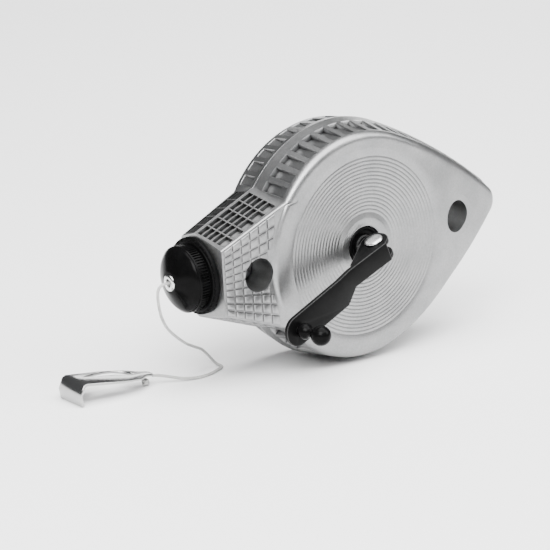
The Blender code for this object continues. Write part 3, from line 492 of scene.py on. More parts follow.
def extruded(name, outline, low, high, place):
    """A flat outline in XY, made solid between two heights."""
    built = bmesh.new()
    lower = [built.verts.new((x, y, low)) for x, y in outline]
    upper = [built.verts.new((x, y, high)) for x, y in outline]
    built.faces.new(lower[::-1])
    built.faces.new(upper)
    for k in range(len(outline)):
        j = (k + 1) % len(outline)
        built.faces.new((lower[k], lower[j], upper[j], upper[k]))
    return to_object(name, built, place)


def across_post(side, radius, near, far, x, z=0.0, steps=48):
    """A cylinder across the case, between two depths from the parting plane."""
    outline = arc((x, z), radius, 0.0, 2 * pi, steps)[:-1]
    built = bmesh.new()
    depths = (-side * near, -side * far)
    back, front = [[built.verts.new((px, y, pz)) for px, pz in outline] for y in depths]
    for k in range(steps):
        j = (k + 1) % steps
        built.faces.new((back[k], back[j], front[j], front[k]))
    built.faces.new(back)
    built.faces.new(front)
    return to_object("post", built, CASE)


# -------------------- case

def neck_side(inset):
    """A point on the neck's upper side, moved in by the inset, and the side's direction."""
    run = Vector((NECK_END_X - NECK_ROOT_X, NECK_END_HALF_WIDTH - NECK_ROOT_HALF_WIDTH)).normalized()
    inward = Vector((-run.y, run.x))
    return Vector((NECK_ROOT_X, NECK_ROOT_HALF_WIDTH)) + inward * inset, run


def flank_centre():
    """The centre of the upper flank's arc, which leaves the round body at the tangent angle."""
    offset = FLANK_RADIUS - RIM_RADIUS
    return -offset * cos(FLANK_TANGENT), -offset * sin(FLANK_TANGENT)


def upper_outline(inset, neck_inset, end_inset=0.0):
    """The outline's upper half, from the tail's tip to the middle of the neck's end, as a list of
    (stretch, point)."""
    flank_radius = FLANK_RADIUS - inset
    tip_radius = max(TAIL_TIP_RADIUS - inset, SMALLEST_TIP_RADIUS)
    centre = flank_centre()
    tip_x = centre[0] + sqrt((flank_radius - tip_radius) ** 2 - centre[1] ** 2)
    tip_turn = atan2(-centre[1], tip_x - centre[0])
    body_radius = RIM_RADIUS - inset
    start, run = neck_side(neck_inset)
    along = start.dot(run)
    root = start + run * (sqrt(along ** 2 - start.length_squared + body_radius ** 2) - along)
    end = start + run * ((NECK_END_X + end_inset - start.x) / run.x)
    root_angle = atan2(root.y, root.x)
    stretches = {
        "tip": arc((tip_x, 0.0), tip_radius, 0.0, tip_turn, OUTLINE_STEPS["tip"]),
        "flank": arc(centre, flank_radius, tip_turn, FLANK_TANGENT, OUTLINE_STEPS["flank"]),
        "body": arc((0.0, 0.0), body_radius, FLANK_TANGENT, root_angle, OUTLINE_STEPS["body"]),
        "neck": straight(root, end, OUTLINE_STEPS["neck"]),
        "end": straight(end, (end.x, 0.0), OUTLINE_STEPS["end"]),
    }
    points = []
    for stretch, stretch_points in stretches.items():
        first = 0 if stretch == "tip" else 1
        points += [(stretch, point) for point in stretch_points[first:]]
    return points


def outline(inset, neck_inset, end_inset=0.0):
    """The whole closed outline, as (stretch, point)."""
    upper = upper_outline(inset, neck_inset, end_inset)
    lower = [(stretch, (x, -z)) for stretch, (x, z) in upper[1:-1]]
    return upper + lower[::-1]


def neck_depth(half, x):
    """How far the neck's face is from the parting plane."""
    return half["neck"] - half["neck_fall"] * (-NECK_SHOULDER_RADIUS - x)


def face_depth(half, stretch, point, rise=0.0):
    """How far a half's face is from the parting plane. On the neck, rise goes from 0 below the
    shoulder to 1 on the round face."""
    x, z = point
    radius = hypot(x, z)
    if stretch in ("neck", "end"):
        return neck_depth(half, x) + rise * (half["depth"] - neck_depth(half, x))
    angle = abs(atan2(z, x))
    share = (TAIL_FALL_NONE - angle) / (TAIL_FALL_NONE - TAIL_FALL_FULL)
    share = min(max(share, 0.0), 1.0)
    eased = share * share * (3 - 2 * share)
    return half["depth"] - eased * half["tail_fall"] * max(radius - TAIL_FALL_RADIUS, 0.0)


def side_insets(half):
    """How far the draft has moved the sides in, at the face, on the body and on the neck."""
    body = SIDE_DRAFT * (half["depth"] - FACE_EDGE_RADIUS)
    neck = half["neck_draft"] * (half["neck"] - NECK_EDGE_RADIUS)
    return body, neck


def scaled_to(point, radius):
    """The point moved along its own direction to the radius."""
    reach = hypot(*point)
    return point[0] * radius / reach, point[1] * radius / reach


def edge_loops(half):
    """The outer side, with its chamfer at the seam, and the rounded edge of the face."""
    body, neck = side_insets(half)
    loops = [[(x, z, SEAM) for _, (x, z) in outline(SEAM_CHAMFER, SEAM_CHAMFER)]]
    loops.append([(x, z, SEAM + SEAM_CHAMFER) for _, (x, z) in outline(0.0, 0.0)])
    for step in range(EDGE_STEPS + 1):
        turn = pi / 2 * step / EDGE_STEPS
        across = 1 - cos(turn)
        loop = []
        for stretch, point in outline(body + FACE_EDGE_RADIUS * across, neck + NECK_EDGE_RADIUS * across):
            edge = NECK_EDGE_RADIUS if stretch in ("neck", "end") else FACE_EDGE_RADIUS
            loop.append((*point, face_depth(half, stretch, point) - edge * (1 - sin(turn))))
        loops.append(loop)
    return loops


def face_loops(half):
    """The face inside its edge: the neck's shoulder, the fine rings and the ring round the hub."""
    body, neck = side_insets(half)
    border = outline(body + FACE_EDGE_RADIUS, neck + NECK_EDGE_RADIUS)
    loops = []
    for number, (neck_radius, rise) in enumerate(SHOULDER_STEPS, start=1):
        loop = []
        for stretch, point in border:
            radius = hypot(*point)
            target = radius + (TAIL_FALL_RADIUS - radius) * number / (len(SHOULDER_STEPS) + 1)
            lift = 0.0
            if stretch in ("neck", "end"):
                target = min(neck_radius * MM, radius)
                lift = rise if target < radius else 0.0
            moved = scaled_to(point, target)
            loop.append((*moved, face_depth(half, stretch, moved, lift)))
        loops.append(loop)
    section = [(TAIL_FALL_RADIUS, 0.0)]
    for number in range(GROOVE_COUNT):
        middle = GROOVE_FIRST - number * GROOVE_PITCH
        section += [(middle + across * MM, -down * MM) for across, down in GROOVE_SECTION]
    section += [(radius * MM, rise * MM) for radius, rise in HUB_RING]
    for radius, rise in section:
        loops.append([(*scaled_to(point, radius), half["depth"] + rise) for _, point in border])
    return loops


def cavity_loops(half):
    """The hollow side, from the hub's bore back out to the seam."""
    body, neck = side_insets(half)
    side = outline(body + WALL, neck + WALL, WALL)
    loops = []
    for target in (HUB_RADIUS + HUB_GAP, TAIL_FALL_RADIUS):
        loops.append([(*scaled_to(point, target), half["depth"] - WALL) for _, point in side])
    loops.append([(*point, face_depth(half, stretch, point) - WALL) for stretch, point in side])
    loops.append([(*point, SEAM) for _, point in outline(WALL, WALL, WALL)])
    return loops


def case_skin(name, half):
    """A closed skin lofted through the loops: out over the side and face, back through the hollow."""
    loops = edge_loops(half) + face_loops(half) + cavity_loops(half)
    built = bmesh.new()
    rings = [[built.verts.new((x, -half["side"] * depth, z)) for x, z, depth in loop] for loop in loops]
    count = len(rings[0])
    for ring, inner in zip(rings, rings[1:] + rings[:1]):
        for i in range(count):
            j = (i + 1) % count
            built.faces.new((ring[i], ring[j], inner[j], inner[i]))
    return to_object(name, built, CASE)


def add_block(built, corner, spans):
    """A closed block of stacked four-sided rings. corner gives a point from (along, depth, height);
    spans lists (height, middle along, half along, near depth, far depth), the first the highest. A
    height may be a pair: at the near and at the far end."""
    rings = []
    for height, middle, half_along, near, far in spans:
        low, high = height if isinstance(height, tuple) else (height, height)
        places = [
            (middle - half_along, near, low),
            (middle + half_along, near, low),
            (middle + half_along, far, high),
            (middle - half_along, far, high),
        ]
        rings.append([built.verts.new(corner(*place)) for place in places])
    loft(built, rings)


def rim_places():
    """Where the rim's pockets are, over the top: (centre of the outline's arc, radius, angle)."""
    places = []
    body_step = RIM_PITCH / RIM_RADIUS
    angle = RIM_FIRST_ANGLE
    while angle > FLANK_TANGENT:
        places.append(((0.0, 0.0), RIM_RADIUS, angle))
        angle -= body_step
    flank_angle = FLANK_TANGENT - (FLANK_TANGENT - angle) * RIM_RADIUS / FLANK_RADIUS
    centre = flank_centre()
    while centre[0] + FLANK_RADIUS * cos(flank_angle) < RIM_LAST_X:
        places.append((centre, FLANK_RADIUS, flank_angle))
        flank_angle -= RIM_PITCH / FLANK_RADIUS
    return places


def rim_cutter(half):
    """The wedge-shaped pockets round the rim: deep by the seam, running out towards the face."""
    built = bmesh.new()
    near, far = half["slot"]
    deep, shallow = RIM_SLOT_DEPTHS
    half_width = RIM_SLOT_WIDTH / 2
    flare = RIM_FLARE
    for centre, radius, angle in rim_places():
        fall = 1.0
        if radius > RIM_RADIUS:
            x = centre[0] + radius * cos(angle)
            fall = 1 - RIM_TAIL_LOSS * x / RIM_LAST_X
        for flip in (1, -1):

            def corner(along, depth, height):
                reach = radius + height - SIDE_DRAFT * depth
                turn = angle + along / radius
                x = centre[0] + reach * cos(turn)
                z = flip * (centre[1] + reach * sin(turn))
                return x, -half["side"] * depth, z

            last = near + (far - near) * fall
            spans = [
                (RIM_CUT_RISE, 0.0, half_width + 2 * flare, near - 2 * flare, last + 2 * flare),
                (flare / 2, 0.0, half_width + flare, near - flare, last + flare),
                (-flare, 0.0, half_width, near, last),
                ((-deep, -shallow), 0.0, half_width - flare, near + flare, last),
            ]
            add_block(built, corner, spans)
    return to_object("rim_cutter", built, CASE)


def window_cutter(half):
    """Channels in the neck's flanks: rows of windows, each with thin ribs left along the neck."""
    built = bmesh.new()
    near, far = half["window"]
    start, run = neck_side(0.0)
    start -= run * WINDOW_LEAD
    length = (NECK_END_X - start.x) / run.x
    pitch = length / WINDOW_COUNT
    half_along = (pitch - WINDOW_BAR) / 2
    channel = (far - near - WINDOW_RIBS * WINDOW_RIB) / (WINDOW_RIBS + WINDOW_LAST_SHARE)
    draft = half["neck_draft"]
    for flip in (1, -1):

        def corner(along, depth, height):
            outward = Vector((run.y, -run.x)) * (height - draft * depth)
            point = start + run * along + outward
            return point.x, -half["side"] * depth, flip * point.y

        for window in range(WINDOW_COUNT):
            middle = pitch * (window + 0.5) - WINDOW_SHIFT
            for number in range(WINDOW_RIBS + 1):
                low = near + number * (channel + WINDOW_RIB)
                high = low + channel if number < WINDOW_RIBS else far
                floor_low = low + WINDOW_FLARE
                floor_high = high - WINDOW_FLARE
                spans = [
                    (MM, middle, half_along + WINDOW_FLARE, low, high),
                    (-WINDOW_FLARE, middle, half_along, low, high),
                    (-WINDOW_DEPTH, middle, half_along - WINDOW_END_FLARE, floor_low, floor_high),
                ]
                add_block(built, corner, spans)
    return to_object("window_cutter", built, CASE)


def inset_outline(corners, distance):
    """A convex outline, given anticlockwise, with each of its sides moved in by the distance."""
    moved = []
    for before, point, after in zip(corners[-1:] + corners[:-1], corners, corners[1:] + corners[:1]):
        first = (point - before).normalized()
        second = (after - point).normalized()
        moved.append(point + (second - first) * (distance / first.cross(second)))
    return moved


def neck_pads(half):
    """The raised pads on the neck's face, in rows that run together towards the cap."""
    built = bmesh.new()
    _, neck_inset = side_insets(half)
    start, run = neck_side(neck_inset + NECK_EDGE_RADIUS)
    clear_radius = NECK_SHOULDER_RADIUS + PAD_SHOULDER_GAP
    side = half["side"]

    def place(x, share):
        half_width = start.y + (x - start.x) * run.y / run.x + PAD_OVERHANG
        z = share * half_width
        if hypot(x, z) < clear_radius:
            x = -sqrt(max(clear_radius ** 2 - z ** 2, 0.0))
        return Vector((x, z))

    for right, left in zip(PAD_COLUMNS, PAD_COLUMNS[1:]):
        for row in range(PAD_ROWS):
            low = -1 + 2 * row / PAD_ROWS
            high = low + 2 / PAD_ROWS
            ends = ((right, low), (right, high), (left, high), (left, low))
            corners = [place(x * MM, share) for x, share in ends]
            if min(corners[0].x - corners[3].x, corners[1].x - corners[2].x) < PAD_SHORTEST:
                continue
            rings = []
            for rise, shrink in PAD_SECTION:
                ring = []
                for x, z in inset_outline(corners, PAD_GAP / 2 + shrink * MM):
                    depth = neck_depth(half, x) + rise * PAD_RISE
                    ring.append(built.verts.new((x, -side * depth, z)))
                rings.append(ring)
            loft(built, rings)
    return to_object("neck_pads", built, CASE, radians(60))


def neck_bore():
    """The cutter for the hole in the neck's end wall."""
    length = NECK_BORE_LENGTH
    profile = [(0.0, length), (NECK_BORE_RADIUS, length), (NECK_BORE_RADIUS, 0.0), (0.0, 0.0)]
    start = -NECK_END_X - WALL - length / 2
    return turned("neck_bore", profile, NECK @ Matrix.Translation((0, 0, start)), 48)


def add_case_half(name, node, half):
    """One half of the case: its skin, with bosses and holes, and the pads on its neck."""
    side = half["side"]
    skin = case_skin(name, half)
    tail_top = face_depth(half, "tip", (TAIL_HOLE_X, 0.0)) - WALL / 2
    bosses = [across_post(side, HOLE_RADIUS + WALL, SEAM, tail_top, TAIL_HOLE_X)]
    past = half["depth"] + CUT_PAST
    holes = [across_post(side, HOLE_RADIUS, -MM, past, TAIL_HOLE_X)]
    pads = neck_pads(half)
    if side > 0:
        pocket_back = POCKET_FLOOR_DEPTH - WALL / 2
        pocket_front = half["neck"] - WALL / 2
        bosses.append(across_post(side, HOLE_RADIUS + WALL / 2, pocket_back, pocket_front, POCKET_X))
        holes.append(across_post(side, HOLE_RADIUS, POCKET_FLOOR_DEPTH, past, POCKET_X))
        pad_cut = across_post(side, HOLE_RADIUS + PAD_POCKET_GAP, 0.0, past, POCKET_X)
        combine(pads, "DIFFERENCE", pad_cut)
    else:
        boss_front = half["depth"] - HUB_BOSS_DROP
        bosses.append(across_post(side, HUB_BOSS_RADIUS, HUB_BOSS_BACK, boss_front, 0.0))
        boss_top = half["depth"] - WALL / 2
        seat_radius = SCREW_HEAD_RADIUS + SCREW_HEAD_GAP
        seat = SCREW_SEAT_DEPTH
        for angle in SCREW_ANGLES:
            x = SCREW_RING_RADIUS * cos(angle)
            z = SCREW_RING_RADIUS * sin(angle)
            bosses.append(across_post(side, SCREW_BOSS_RADIUS, SEAM, boss_top, x, z, SCREW_STEPS))
            holes.append(across_post(side, seat_radius, seat, past, x, z, SCREW_STEPS))
            holes.append(across_post(side, SCREW_HOLE_RADIUS, -MM, seat + MM, x, z, SCREW_HOLE_STEPS))
    for boss in bosses:
        combine(skin, "UNION", boss)
    for hole in holes:
        combine(skin, "DIFFERENCE", hole)
    combine(skin, "DIFFERENCE", neck_bore())
    combine(skin, "DIFFERENCE", rim_cutter(half))
    combine(skin, "DIFFERENCE", window_cutter(half))
    shell = joined(name, [skin, pads])
    return finish_piece(shell, "cast_metal", "case", node)


# -------------------- nozzle

def add_collar():
    """The flange at the neck's end, with its stem in the neck and a ring of studs on its front."""
    edge = COLLAR_EDGE
    collar = [(COLLAR_BORE_RADIUS, COLLAR_FRONT - edge), (COLLAR_BORE_RADIUS + edge, COLLAR_FRONT)]
    collar += [(radius * MM, COLLAR_FRONT - back * MM) for radius, back in COLLAR_LIP]
    collar += [
        (COLLAR_RADIUS, COLLAR_BACK + edge),
        (COLLAR_RADIUS - edge, COLLAR_BACK),
        (COLLAR_STEM_RADIUS, COLLAR_BACK),
        (COLLAR_STEM_RADIUS, COLLAR_STEM_BACK),
        (COLLAR_BORE_RADIUS, COLLAR_STEM_BACK),
    ]
    body = turned("collar_body", collar, NECK, COLLAR_STEPS)
    built = bmesh.new()
    for number in range(STUD_COUNT):
        angle = 2 * pi * number / STUD_COUNT
        made = bmesh.ops.create_icosphere(built, subdivisions=2, radius=STUD_RADIUS)
        across = STUD_RING_RADIUS * cos(angle)
        up = STUD_RING_RADIUS * sin(angle)
        place = Vector((across, up, COLLAR_FRONT - STUD_DROP))
        bmesh.ops.translate(built, verts=made["verts"], vec=place)
    studs = to_object("collar_bumps", built, NECK)
    collar_piece = joined("collar_flange", [body, studs])
    finish_piece(collar_piece, "black_plastic", "case", "nozzle_collar")


def add_cap():
    """The filler cap: a dome over a knurled skirt, and the hollow behind it."""
    dome_foot = KNURL_FRONT + DOME_STEP
    height = CAP_NOSE - dome_foot
    radius = KNURL_RADIUS - DOME_INSET
    skirt_end = COLLAR_FRONT + CAP_GAP
    dome = [(radius * across, dome_foot + height * up) for across, up in CAP_DOME]
    knurl = [(KNURL_RADIUS - inward * MM, KNURL_FRONT - back * MM) for inward, back in KNURL_EDGE]
    skirt = [(KNURL_RADIUS - inward * MM, skirt_end + on * MM) for inward, on in SKIRT_EDGE]
    stem_bore, stem_seat = CAP_STEM_BORE
    nose_bore, nose_end = CAP_NOSE_BORE
    inside = [
        (CAP_SKIRT_BORE_RADIUS, skirt_end),
        (CAP_SKIRT_BORE_RADIUS, CAP_BACK),
        (CAP_STEM_RADIUS, CAP_BACK),
        (CAP_STEM_RADIUS, CAP_STEM_BACK),
        (stem_bore, CAP_STEM_BACK),
        (stem_bore, stem_seat),
        (nose_bore, stem_seat),
        (nose_bore, nose_end),
    ]
    # the ribs run from the last point of the knurl's front edge to the first of the skirt's
    ribs_front = len(dome) + len(knurl) - 1
    ribbed = (ribs_front, ribs_front + 1)

    def knurling(index, step):
        in_valley = step % KNURL_STEPS_PER_RIB in (0, 1)
        return -KNURL_DEPTH if index in ribbed and in_valley else 0.0

    profile = dome + knurl + skirt + inside
    cap = turned("cap_shell", profile, NECK, KNURL_RIBS * KNURL_STEPS_PER_RIB, knurling)
    finish_piece(cap, "gloss_black", "cap", "filler_cap")


def add_eyelet():
    """The bright ring in the cap's nose that the line comes out of."""
    back = CAP_NOSE + EYELET_GAP
    eyelet = [(radius * MM, EYELET_NOSE - drop * MM) for radius, drop in EYELET_LIP]
    eyelet += [
        (EYELET_RADIUS, back),
        (EYELET_TUBE_RADIUS, back),
        (EYELET_TUBE_RADIUS, EYELET_TUBE_BACK),
        (EYELET_BORE_RADIUS, EYELET_TUBE_BACK),
    ]
    finish_piece(turned("eyelet_ring", eyelet, NECK, 64), "chrome", "cap_core", "line_eyelet")


# -------------------- hub, crank and knob

def add_hub():
    """The ring that the crank's shaft comes out of, with its recessed middle."""
    face = FRONT["depth"] - HUB_DROP
    floor = face - HUB_FLOOR_DROP
    lip = [(radius * MM, face + rise * MM) for radius, rise in HUB_LIP]
    outside = [
        (HUB_RADIUS, face - HUB_SIDE_DROP),
        (HUB_RADIUS, HUB_FLANGE_TOP),
        (HUB_FLANGE_RADIUS, HUB_FLANGE_TOP),
        (HUB_FLANGE_RADIUS, HUB_FLANGE_BACK),
        (HUB_STEM_RADIUS, HUB_FLANGE_BACK),
        (HUB_STEM_RADIUS, HUB_STEM_BACK),
        (HUB_BORE_RADIUS, HUB_STEM_BACK),
        (HUB_BORE_RADIUS, floor),
    ]
    inside = [(radius * MM, floor + rise * MM) for radius, rise in HUB_FLOOR_EDGE]
    hub = lip[-1:] + outside + inside + lip[:-1]
    finish_piece(turned("hub_ring", hub, SPOOL), "black_plastic", "case", "hub_bush")


def refined(name, node, width, segments=2, angle=radians(40)):
    """A copy of a CAD node with its flat faces merged and its edges rounded."""
    built = bmesh.new()
    built.from_mesh(frame["nodes"][node].data)
    bmesh.ops.remove_doubles(built, verts=built.verts, dist=0.01 * MM)
    bmesh.ops.dissolve_limit(built, angle_limit=radians(1), verts=built.verts, edges=built.edges)
    return bevelled(to_object(name, built, Matrix()), width, segments, angle)


def add_crank():
    """The crank's arm, and the rivet that it folds on."""
    arm = refined("crank_lever", "crank_arm", CRANK_EDGE, 3)
    finish_piece(arm, "black_paint", "crank", "crank_arm")

    seat = WEB_HALF_WIDTH + PIN_HEAD_GAP
    head = PIN_HEAD_HEIGHT
    rim = PIN_HEAD_RIM_SHARE
    dome = [(0.0, seat + head)]
    for step in range(1, PIN_HEAD_STEPS + 1):
        turn = pi / 2 * step / PIN_HEAD_STEPS
        dome.append((PIN_HEAD_RADIUS * sin(turn), seat + head * (rim + (1 - rim) * cos(turn))))
    upper = dome + [(PIN_HEAD_RADIUS, seat), (PIN_RADIUS, seat)]
    lower = [(radius, -height) for radius, height in reversed(upper)]
    rivet = turned("fold_rivet", upper + lower, CRANK @ CROSSWISE, 64)
    finish_piece(rivet, "steel", "crank", "crank_pin")


def add_knob():
    """The knob: a ball on a narrow neck and a rounded base, hollow for its pin."""
    ball = arc((0.0, KNOB_BALL_HEIGHT), KNOB_BALL_RADIUS, *KNOB_BALL_ARC)
    base = arc((0.0, KNOB_BASE_HEIGHT), KNOB_BASE_RADIUS, *KNOB_BASE_ARC)
    profile = [(0.0, KNOB_TOP)] + ball[1:]
    profile += [(radius * MM, height * MM) for radius, height in KNOB_NECK]
    profile += base
    profile += [
        (KNOB_FOOT_RADIUS, KNOB_GAP),
        (KNOB_BORE_RADIUS, KNOB_GAP),
        (KNOB_BORE_RADIUS, KNOB_BORE_TOP),
        (0.0, KNOB_BORE_TOP),
    ]
    finish_piece(turned("winding_knob", profile, KNOB, 64), "gloss_black", "knob", "knob")


# -------------------- line and hook

def add_line_and_hook():
    """The free line from the eyelet, the hook at its end and the knot that holds it there."""
    points = [FLOOR @ point for point in smooth_route(FREE_ROUTE, LINE_SPACING)]
    line = twisted_line("free_line", points, LINE_RADIUS)
    finish_piece(line, "cotton", "case", "line_outer")

    hook = refined("hook_plate", "end_hook", HOOK_EDGE, 2, radians(60))
    slot_corners = [(x * MM, y * MM) for x, y in HOOK_SLOT]
    slot = extruded("slot", slot_corners, 0.0, HOOK_SLOT_TOP, HOOK)
    combine(hook, "DIFFERENCE", slot)
    finish_piece(hook, "bright_steel", "case", "end_hook")

    middle = Vector((HOOK_KNOT_X, 0, HOOK_KNOT_RADIUS + KNOT_LIFT))
    wraps = []
    for number in range(KNOT_POINTS):
        turn = 2 * pi * number / KNOT_POINTS_PER_TURN
        lean = turn * KNOT_LEAN
        reach = (HOOK_KNOT_RADIUS - LINE_RADIUS) * (1 + KNOT_SWELL * cos(lean))
        across = reach * sin(turn) * KNOT_NARROWING
        up = reach * KNOT_RISE * sin(lean)
        wraps.append(HOOK @ (middle + Vector((reach * cos(turn), across, up))))
    knot = twisted_line("line_knot", wraps, LINE_RADIUS)
    finish_piece(knot, "cotton", "case", "hook_knot")


# -------------------- materials

class Nodes:
    """A material's node tree, with short calls to add and join nodes."""

    def __init__(self, name):
        self.material = bpy.data.materials.new(name)
        self.material.use_nodes = True
        self.tree = self.material.node_tree
        self.shader = self.tree.nodes["Principled BSDF"]
        self.position = self.tree.nodes.new("ShaderNodeTexCoord").outputs["Object"]

    def add(self, kind, inputs=(), **settings):
        node = self.tree.nodes.new("ShaderNode" + kind)
        for key, value in settings.items():
            setattr(node, key, value)
        for key, value in dict(inputs).items():
            self.put(node.inputs[key], value)
        return node

    def put(self, socket, value):
        if isinstance(value, bpy.types.NodeSocket):
            self.tree.links.new(value, socket)
        else:
            socket.default_value = value

    def noise(self, scale, detail=3.0, roughness=0.55):
        inputs = {"Vector": self.position, "Scale": scale, "Detail": detail, "Roughness": roughness}
        return self.add("TexNoise", inputs).outputs["Fac"]

    def ranged(self, value, low, high, start=0.0, end=1.0):
        inputs = {"Value": value, "From Min": start, "From Max": end, "To Min": low, "To Max": high}
        return self.add("MapRange", inputs).outputs["Result"]

    def ramp(self, value, stops):
        made = self.add("ValToRGB", {"Fac": value})
        elements = made.color_ramp.elements
        while len(elements) < len(stops):
            elements.new(0.5)
        for element, (place, colour) in zip(elements, stops):
            element.position = place
            element.color = (*colour, 1.0)
        return made.outputs["Color"]

    def painted_recess_shade(self, colour, darkest, distance):
        """The colour, darkened where the surface is sunk: painted shade in corners and recesses."""
        inputs = {"Distance": distance}
        openness = self.add("AmbientOcclusion", inputs, samples=12, only_local=True).outputs["AO"]
        full, none = RECESS_SHADE_RANGE
        return self.times(colour, self.ramp(openness, ((full, grey(darkest)), (none, grey(1.0)))))

    def times(self, colour, other):
        inputs = {"Fac": 1.0, "Color1": colour, "Color2": other}
        return self.add("MixRGB", inputs, blend_type="MULTIPLY").outputs["Color"]

    def edge_wear_and_light(self, colour, wear_and_edge_light, radius):
        """The colour, changed along the piece's edges: wear, and painted light there, a highlight where
        the edge colour is lighter and shade where it is darker.
        """
        rounded = self.add("Bevel", {"Radius": radius}, samples=8).outputs["Normal"]
        flat = self.add("NewGeometry").outputs["Normal"]
        across = self.add("VectorMath", {0: rounded, 1: flat}, operation="DOT_PRODUCT")
        share = self.ranged(across.outputs["Value"], 1.0, 0.0, *EDGE_WEAR_AND_LIGHT_RANGE)
        mixed = self.add("MixRGB", {"Fac": share, "Color1": colour, "Color2": (*wear_and_edge_light, 1.0)})
        return mixed.outputs["Color"]

    def bump(self, height, strength, distance):
        made = self.add("Bump", {"Height": height, "Strength": strength, "Distance": distance})
        return made.outputs["Normal"]

    def finish(self, **inputs):
        for key, value in inputs.items():
            self.put(self.shader.inputs[key.replace("_", " ")], value)
        return self.material


def grey(value, tint=(1.0, 1.0, 1.0)):
    return tuple(value * part for part in tint)


def cast_metal():
    """Die-cast zinc with a satin coat: fine grain, and faint clouding in colour and gloss."""
    n = Nodes("cast_metal")
    clouds = n.noise(90, detail=4)
    colour = n.ramp(clouds, ((0.3, grey(0.25, (0.99, 1.0, 1.01))), (0.7, grey(0.31))))
    speckle = n.noise(1500, detail=3, roughness=0.7)
    colour = n.times(colour, n.ramp(speckle, ((0.3, grey(0.80)), (0.7, grey(1.0)))))
    # painted shade: darker where the surface is sunk
    colour = n.painted_recess_shade(colour, darkest=0.24, distance=2.2 * MM)
    gloss = n.ranged(n.noise(400), low=0.30, high=0.42)
    bump = n.bump(n.noise(2600, detail=2), strength=0.16, distance=0.2 * MM)
    return n.finish(Base_Color=colour, Metallic=0.96, Roughness=gloss, Normal=bump)


def black_moulding(name, low, high, grain):
    """Moulded black plastic; low and high are its roughness, and grain the strength of its bump."""
    n = Nodes(name)
    colour = n.ramp(n.noise(160), ((0.3, grey(0.0015)), (0.75, grey(0.003, (1.0, 1.0, 1.05)))))
    gloss = n.ranged(n.noise(220, detail=4), low, high)
    bump = n.bump(n.noise(1800, detail=2), strength=grain, distance=0.1 * MM)
    return n.finish(Base_Color=colour, IOR=MOULDING_IOR, Roughness=gloss, Normal=bump)


def black_paint():
    """Semi-gloss paint on sheet steel, with a faint orange peel, and lighter edges: wear, and a painted
    edge highlight.
    """
    n = Nodes("black_paint")
    colour = n.ramp(n.noise(120), ((0.3, grey(0.0015)), (0.8, grey(0.004, (1.0, 1.02, 1.05)))))
    # lighter edges: paint worn along them, and a painted highlight
    colour = n.edge_wear_and_light(colour, wear_and_edge_light=grey(0.06), radius=0.7 * MM)
    gloss = n.ranged(n.noise(300), low=0.26, high=0.40)
    bump = n.bump(n.noise(900), strength=0.12, distance=0.1 * MM)
    return n.finish(Base_Color=colour, IOR=PAINT_IOR, Roughness=gloss, Normal=bump)


def steel(name, low, high, bright, edge=None):
    """Plated steel with fine scratches drawn out along X, and painted shade in its corners; low and high
    are its roughness, bright its colour, and edge the colour of its edges: wear, with painted shade along
    them."""
    n = Nodes(name)
    drawn_out = n.add("Mapping", {"Vector": n.position, "Scale": SCRATCH_SCALE}).outputs["Vector"]
    scratches = n.add("TexNoise", {"Vector": drawn_out, "Scale": 1.0, "Detail": 3.0}).outputs["Fac"]
    stops = ((0.3, grey(bright * 0.88)), (0.7, grey(bright, (1.0, 1.0, 0.99))))
    # painted shade in the corners
    colour = n.painted_recess_shade(n.ramp(n.noise(140), stops), darkest=0.05, distance=1.6 * MM)
    if edge is not None:
        # darker edges: wear, and painted shade along them
        colour = n.edge_wear_and_light(colour, wear_and_edge_light=grey(edge), radius=0.5 * MM)
    gloss = n.ranged(scratches, low, high)
    bump = n.bump(scratches, strength=0.08, distance=0.1 * MM)
    return n.finish(Base_Color=colour, Metallic=1.0, Roughness=gloss, Normal=bump)


def cotton():
    """Off-white twisted cotton with loose fibres and a little chalk in it."""
    n = Nodes("cotton")
    fibres = n.noise(700, detail=5, roughness=0.7)
    colour = n.ramp(fibres, ((0.25, (0.20, 0.20, 0.20)), (0.6, (0.38, 0.38, 0.37))))
    rough = n.ranged(n.noise(900), low=0.82, high=0.95)
    bump = n.bump(n.noise(5200, roughness=0.7), strength=0.5, distance=0.12 * MM)
    return n.finish(Base_Color=colour, Sheen_Weight=0.3, Roughness=rough, Normal=bump)


def felt():
    """Pressed felt: coarse fibres, warm grey and quite matt."""
    n = Nodes("felt")
    fibres = n.noise(1500, detail=5, roughness=0.75)
    colour = n.ramp(fibres, ((0.3, (0.30, 0.29, 0.26)), (0.7, (0.52, 0.50, 0.45))))
    rough = n.ranged(n.noise(800), low=0.9, high=1.0)
    bump = n.bump(n.noise(3200, detail=4, roughness=0.7), strength=0.6, distance=0.2 * MM)
    return n.finish(Base_Color=colour, Roughness=rough, Normal=bump)


def rubber():
    """Dark moulded rubber with a dusty bloom."""
    n = Nodes("rubber")
    colour = n.ramp(n.noise(300, detail=4), ((0.3, grey(0.02)), (0.7, grey(0.045))))
    rough = n.ranged(n.noise(500), low=0.7, high=0.85)
    bump = n.bump(n.noise(2400), strength=0.2, distance=0.1 * MM)
    return n.finish(Base_Color=colour, Roughness=rough, Normal=bump)


def grey_plastic():
    """Moulded grey plastic, slightly cool."""
    n = Nodes("grey_plastic")
    cool = (0.97, 1.0, 1.03)
    colour = n.ramp(n.noise(150), ((0.3, grey(0.20, cool)), (0.7, grey(0.28, cool))))
    rough = n.ranged(n.noise(300), low=0.4, high=0.55)
    bump = n.bump(n.noise(1600), strength=0.1, distance=0.1 * MM)
    return n.finish(Base_Color=colour, Roughness=rough, Normal=bump)


def floor_material():
    n = Nodes("floor")
    colour = n.ramp(n.noise(1.5, detail=2), ((0.3, grey(0.86)), (0.7, grey(0.88))))
    return n.finish(Base_Color=colour, Roughness=0.6)


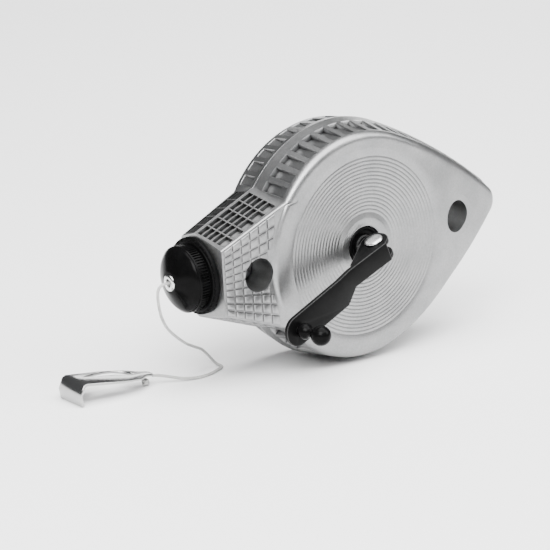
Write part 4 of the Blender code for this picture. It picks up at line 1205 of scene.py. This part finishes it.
MATERIALS = {
    "cast_metal": cast_metal(),
    "black_plastic": black_moulding("black_plastic", 0.34, 0.5, 0.15),
    "gloss_black": black_moulding("gloss_black", 0.16, 0.24, 0.03),
    "black_paint": black_paint(),
    "grey_plastic": grey_plastic(),
    "steel": steel("steel", 0.22, 0.36, 0.62),
    # its last number is the darker edge colour: wear and painted shade
    "bright_steel": steel("bright_steel", 0.14, 0.26, 0.42, 0.06),
    "chrome": steel("chrome", 0.05, 0.10, 0.7),
    "rubber": rubber(),
    "felt": felt(),
    "cotton": cotton(),
}


def finish_piece(made, material, body, node):
    """The piece's material, and the CAD body it moves with and the node it stands for."""
    made.data.materials.clear()
    made.data.materials.append(MATERIALS[material])
    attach(made, body)
    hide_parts(node)
    return made


def repaint_frame():
    """The CAD nodes that stay get the material of their slot in the record."""
    for entry in frame["record"]["subparts"]:
        node = frame["nodes"][entry["node"]]
        if node.hide_render:
            continue
        slot = BLACKENED.get(entry["node"], entry["material_slot"])
        node.data.materials.clear()
        node.data.materials.append(MATERIALS[slot])


# -------------------- floor and light

def add_floor():
    built = bmesh.new()
    half = FLOOR_HALF_WIDTH
    corners = ((-half, -half), (half, -half), (half, half), (-half, half))
    built.faces.new([built.verts.new((x, y, 0)) for x, y in corners])
    floor = to_object("floor", built, Matrix.Translation((0, 0, -FLOOR_DROP)))
    floor.data.materials.append(floor_material())


def add_light(name, place, size, power):
    """A rectangular light that faces the reel."""
    data = bpy.data.lights.new(name, "AREA")
    data.shape = "RECTANGLE"
    data.size, data.size_y = size
    data.energy = power
    light = bpy.data.objects.new(name, data)
    light.location = place
    light.rotation_euler = (CENTRE - Vector(place)).to_track_quat("-Z", "Y").to_euler()
    SCENE.collection.objects.link(light)


def add_lights():
    for name, place, size, power in LIGHTS:
        add_light(name, place, size, power)
    world = bpy.data.worlds.new("world")
    world.use_nodes = True
    background = world.node_tree.nodes["Background"]
    background.inputs["Color"].default_value = WORLD_COLOUR
    background.inputs["Strength"].default_value = WORLD_STRENGTH
    SCENE.world = world


add_camera()
add_line_and_hook()
add_case_half("case_front", "front_shell", FRONT)
add_case_half("case_rear", "rear_shell", REAR)
add_collar()
add_cap()
add_eyelet()
add_hub()
add_crank()
add_knob()
repaint_frame()
add_floor()
add_lights()
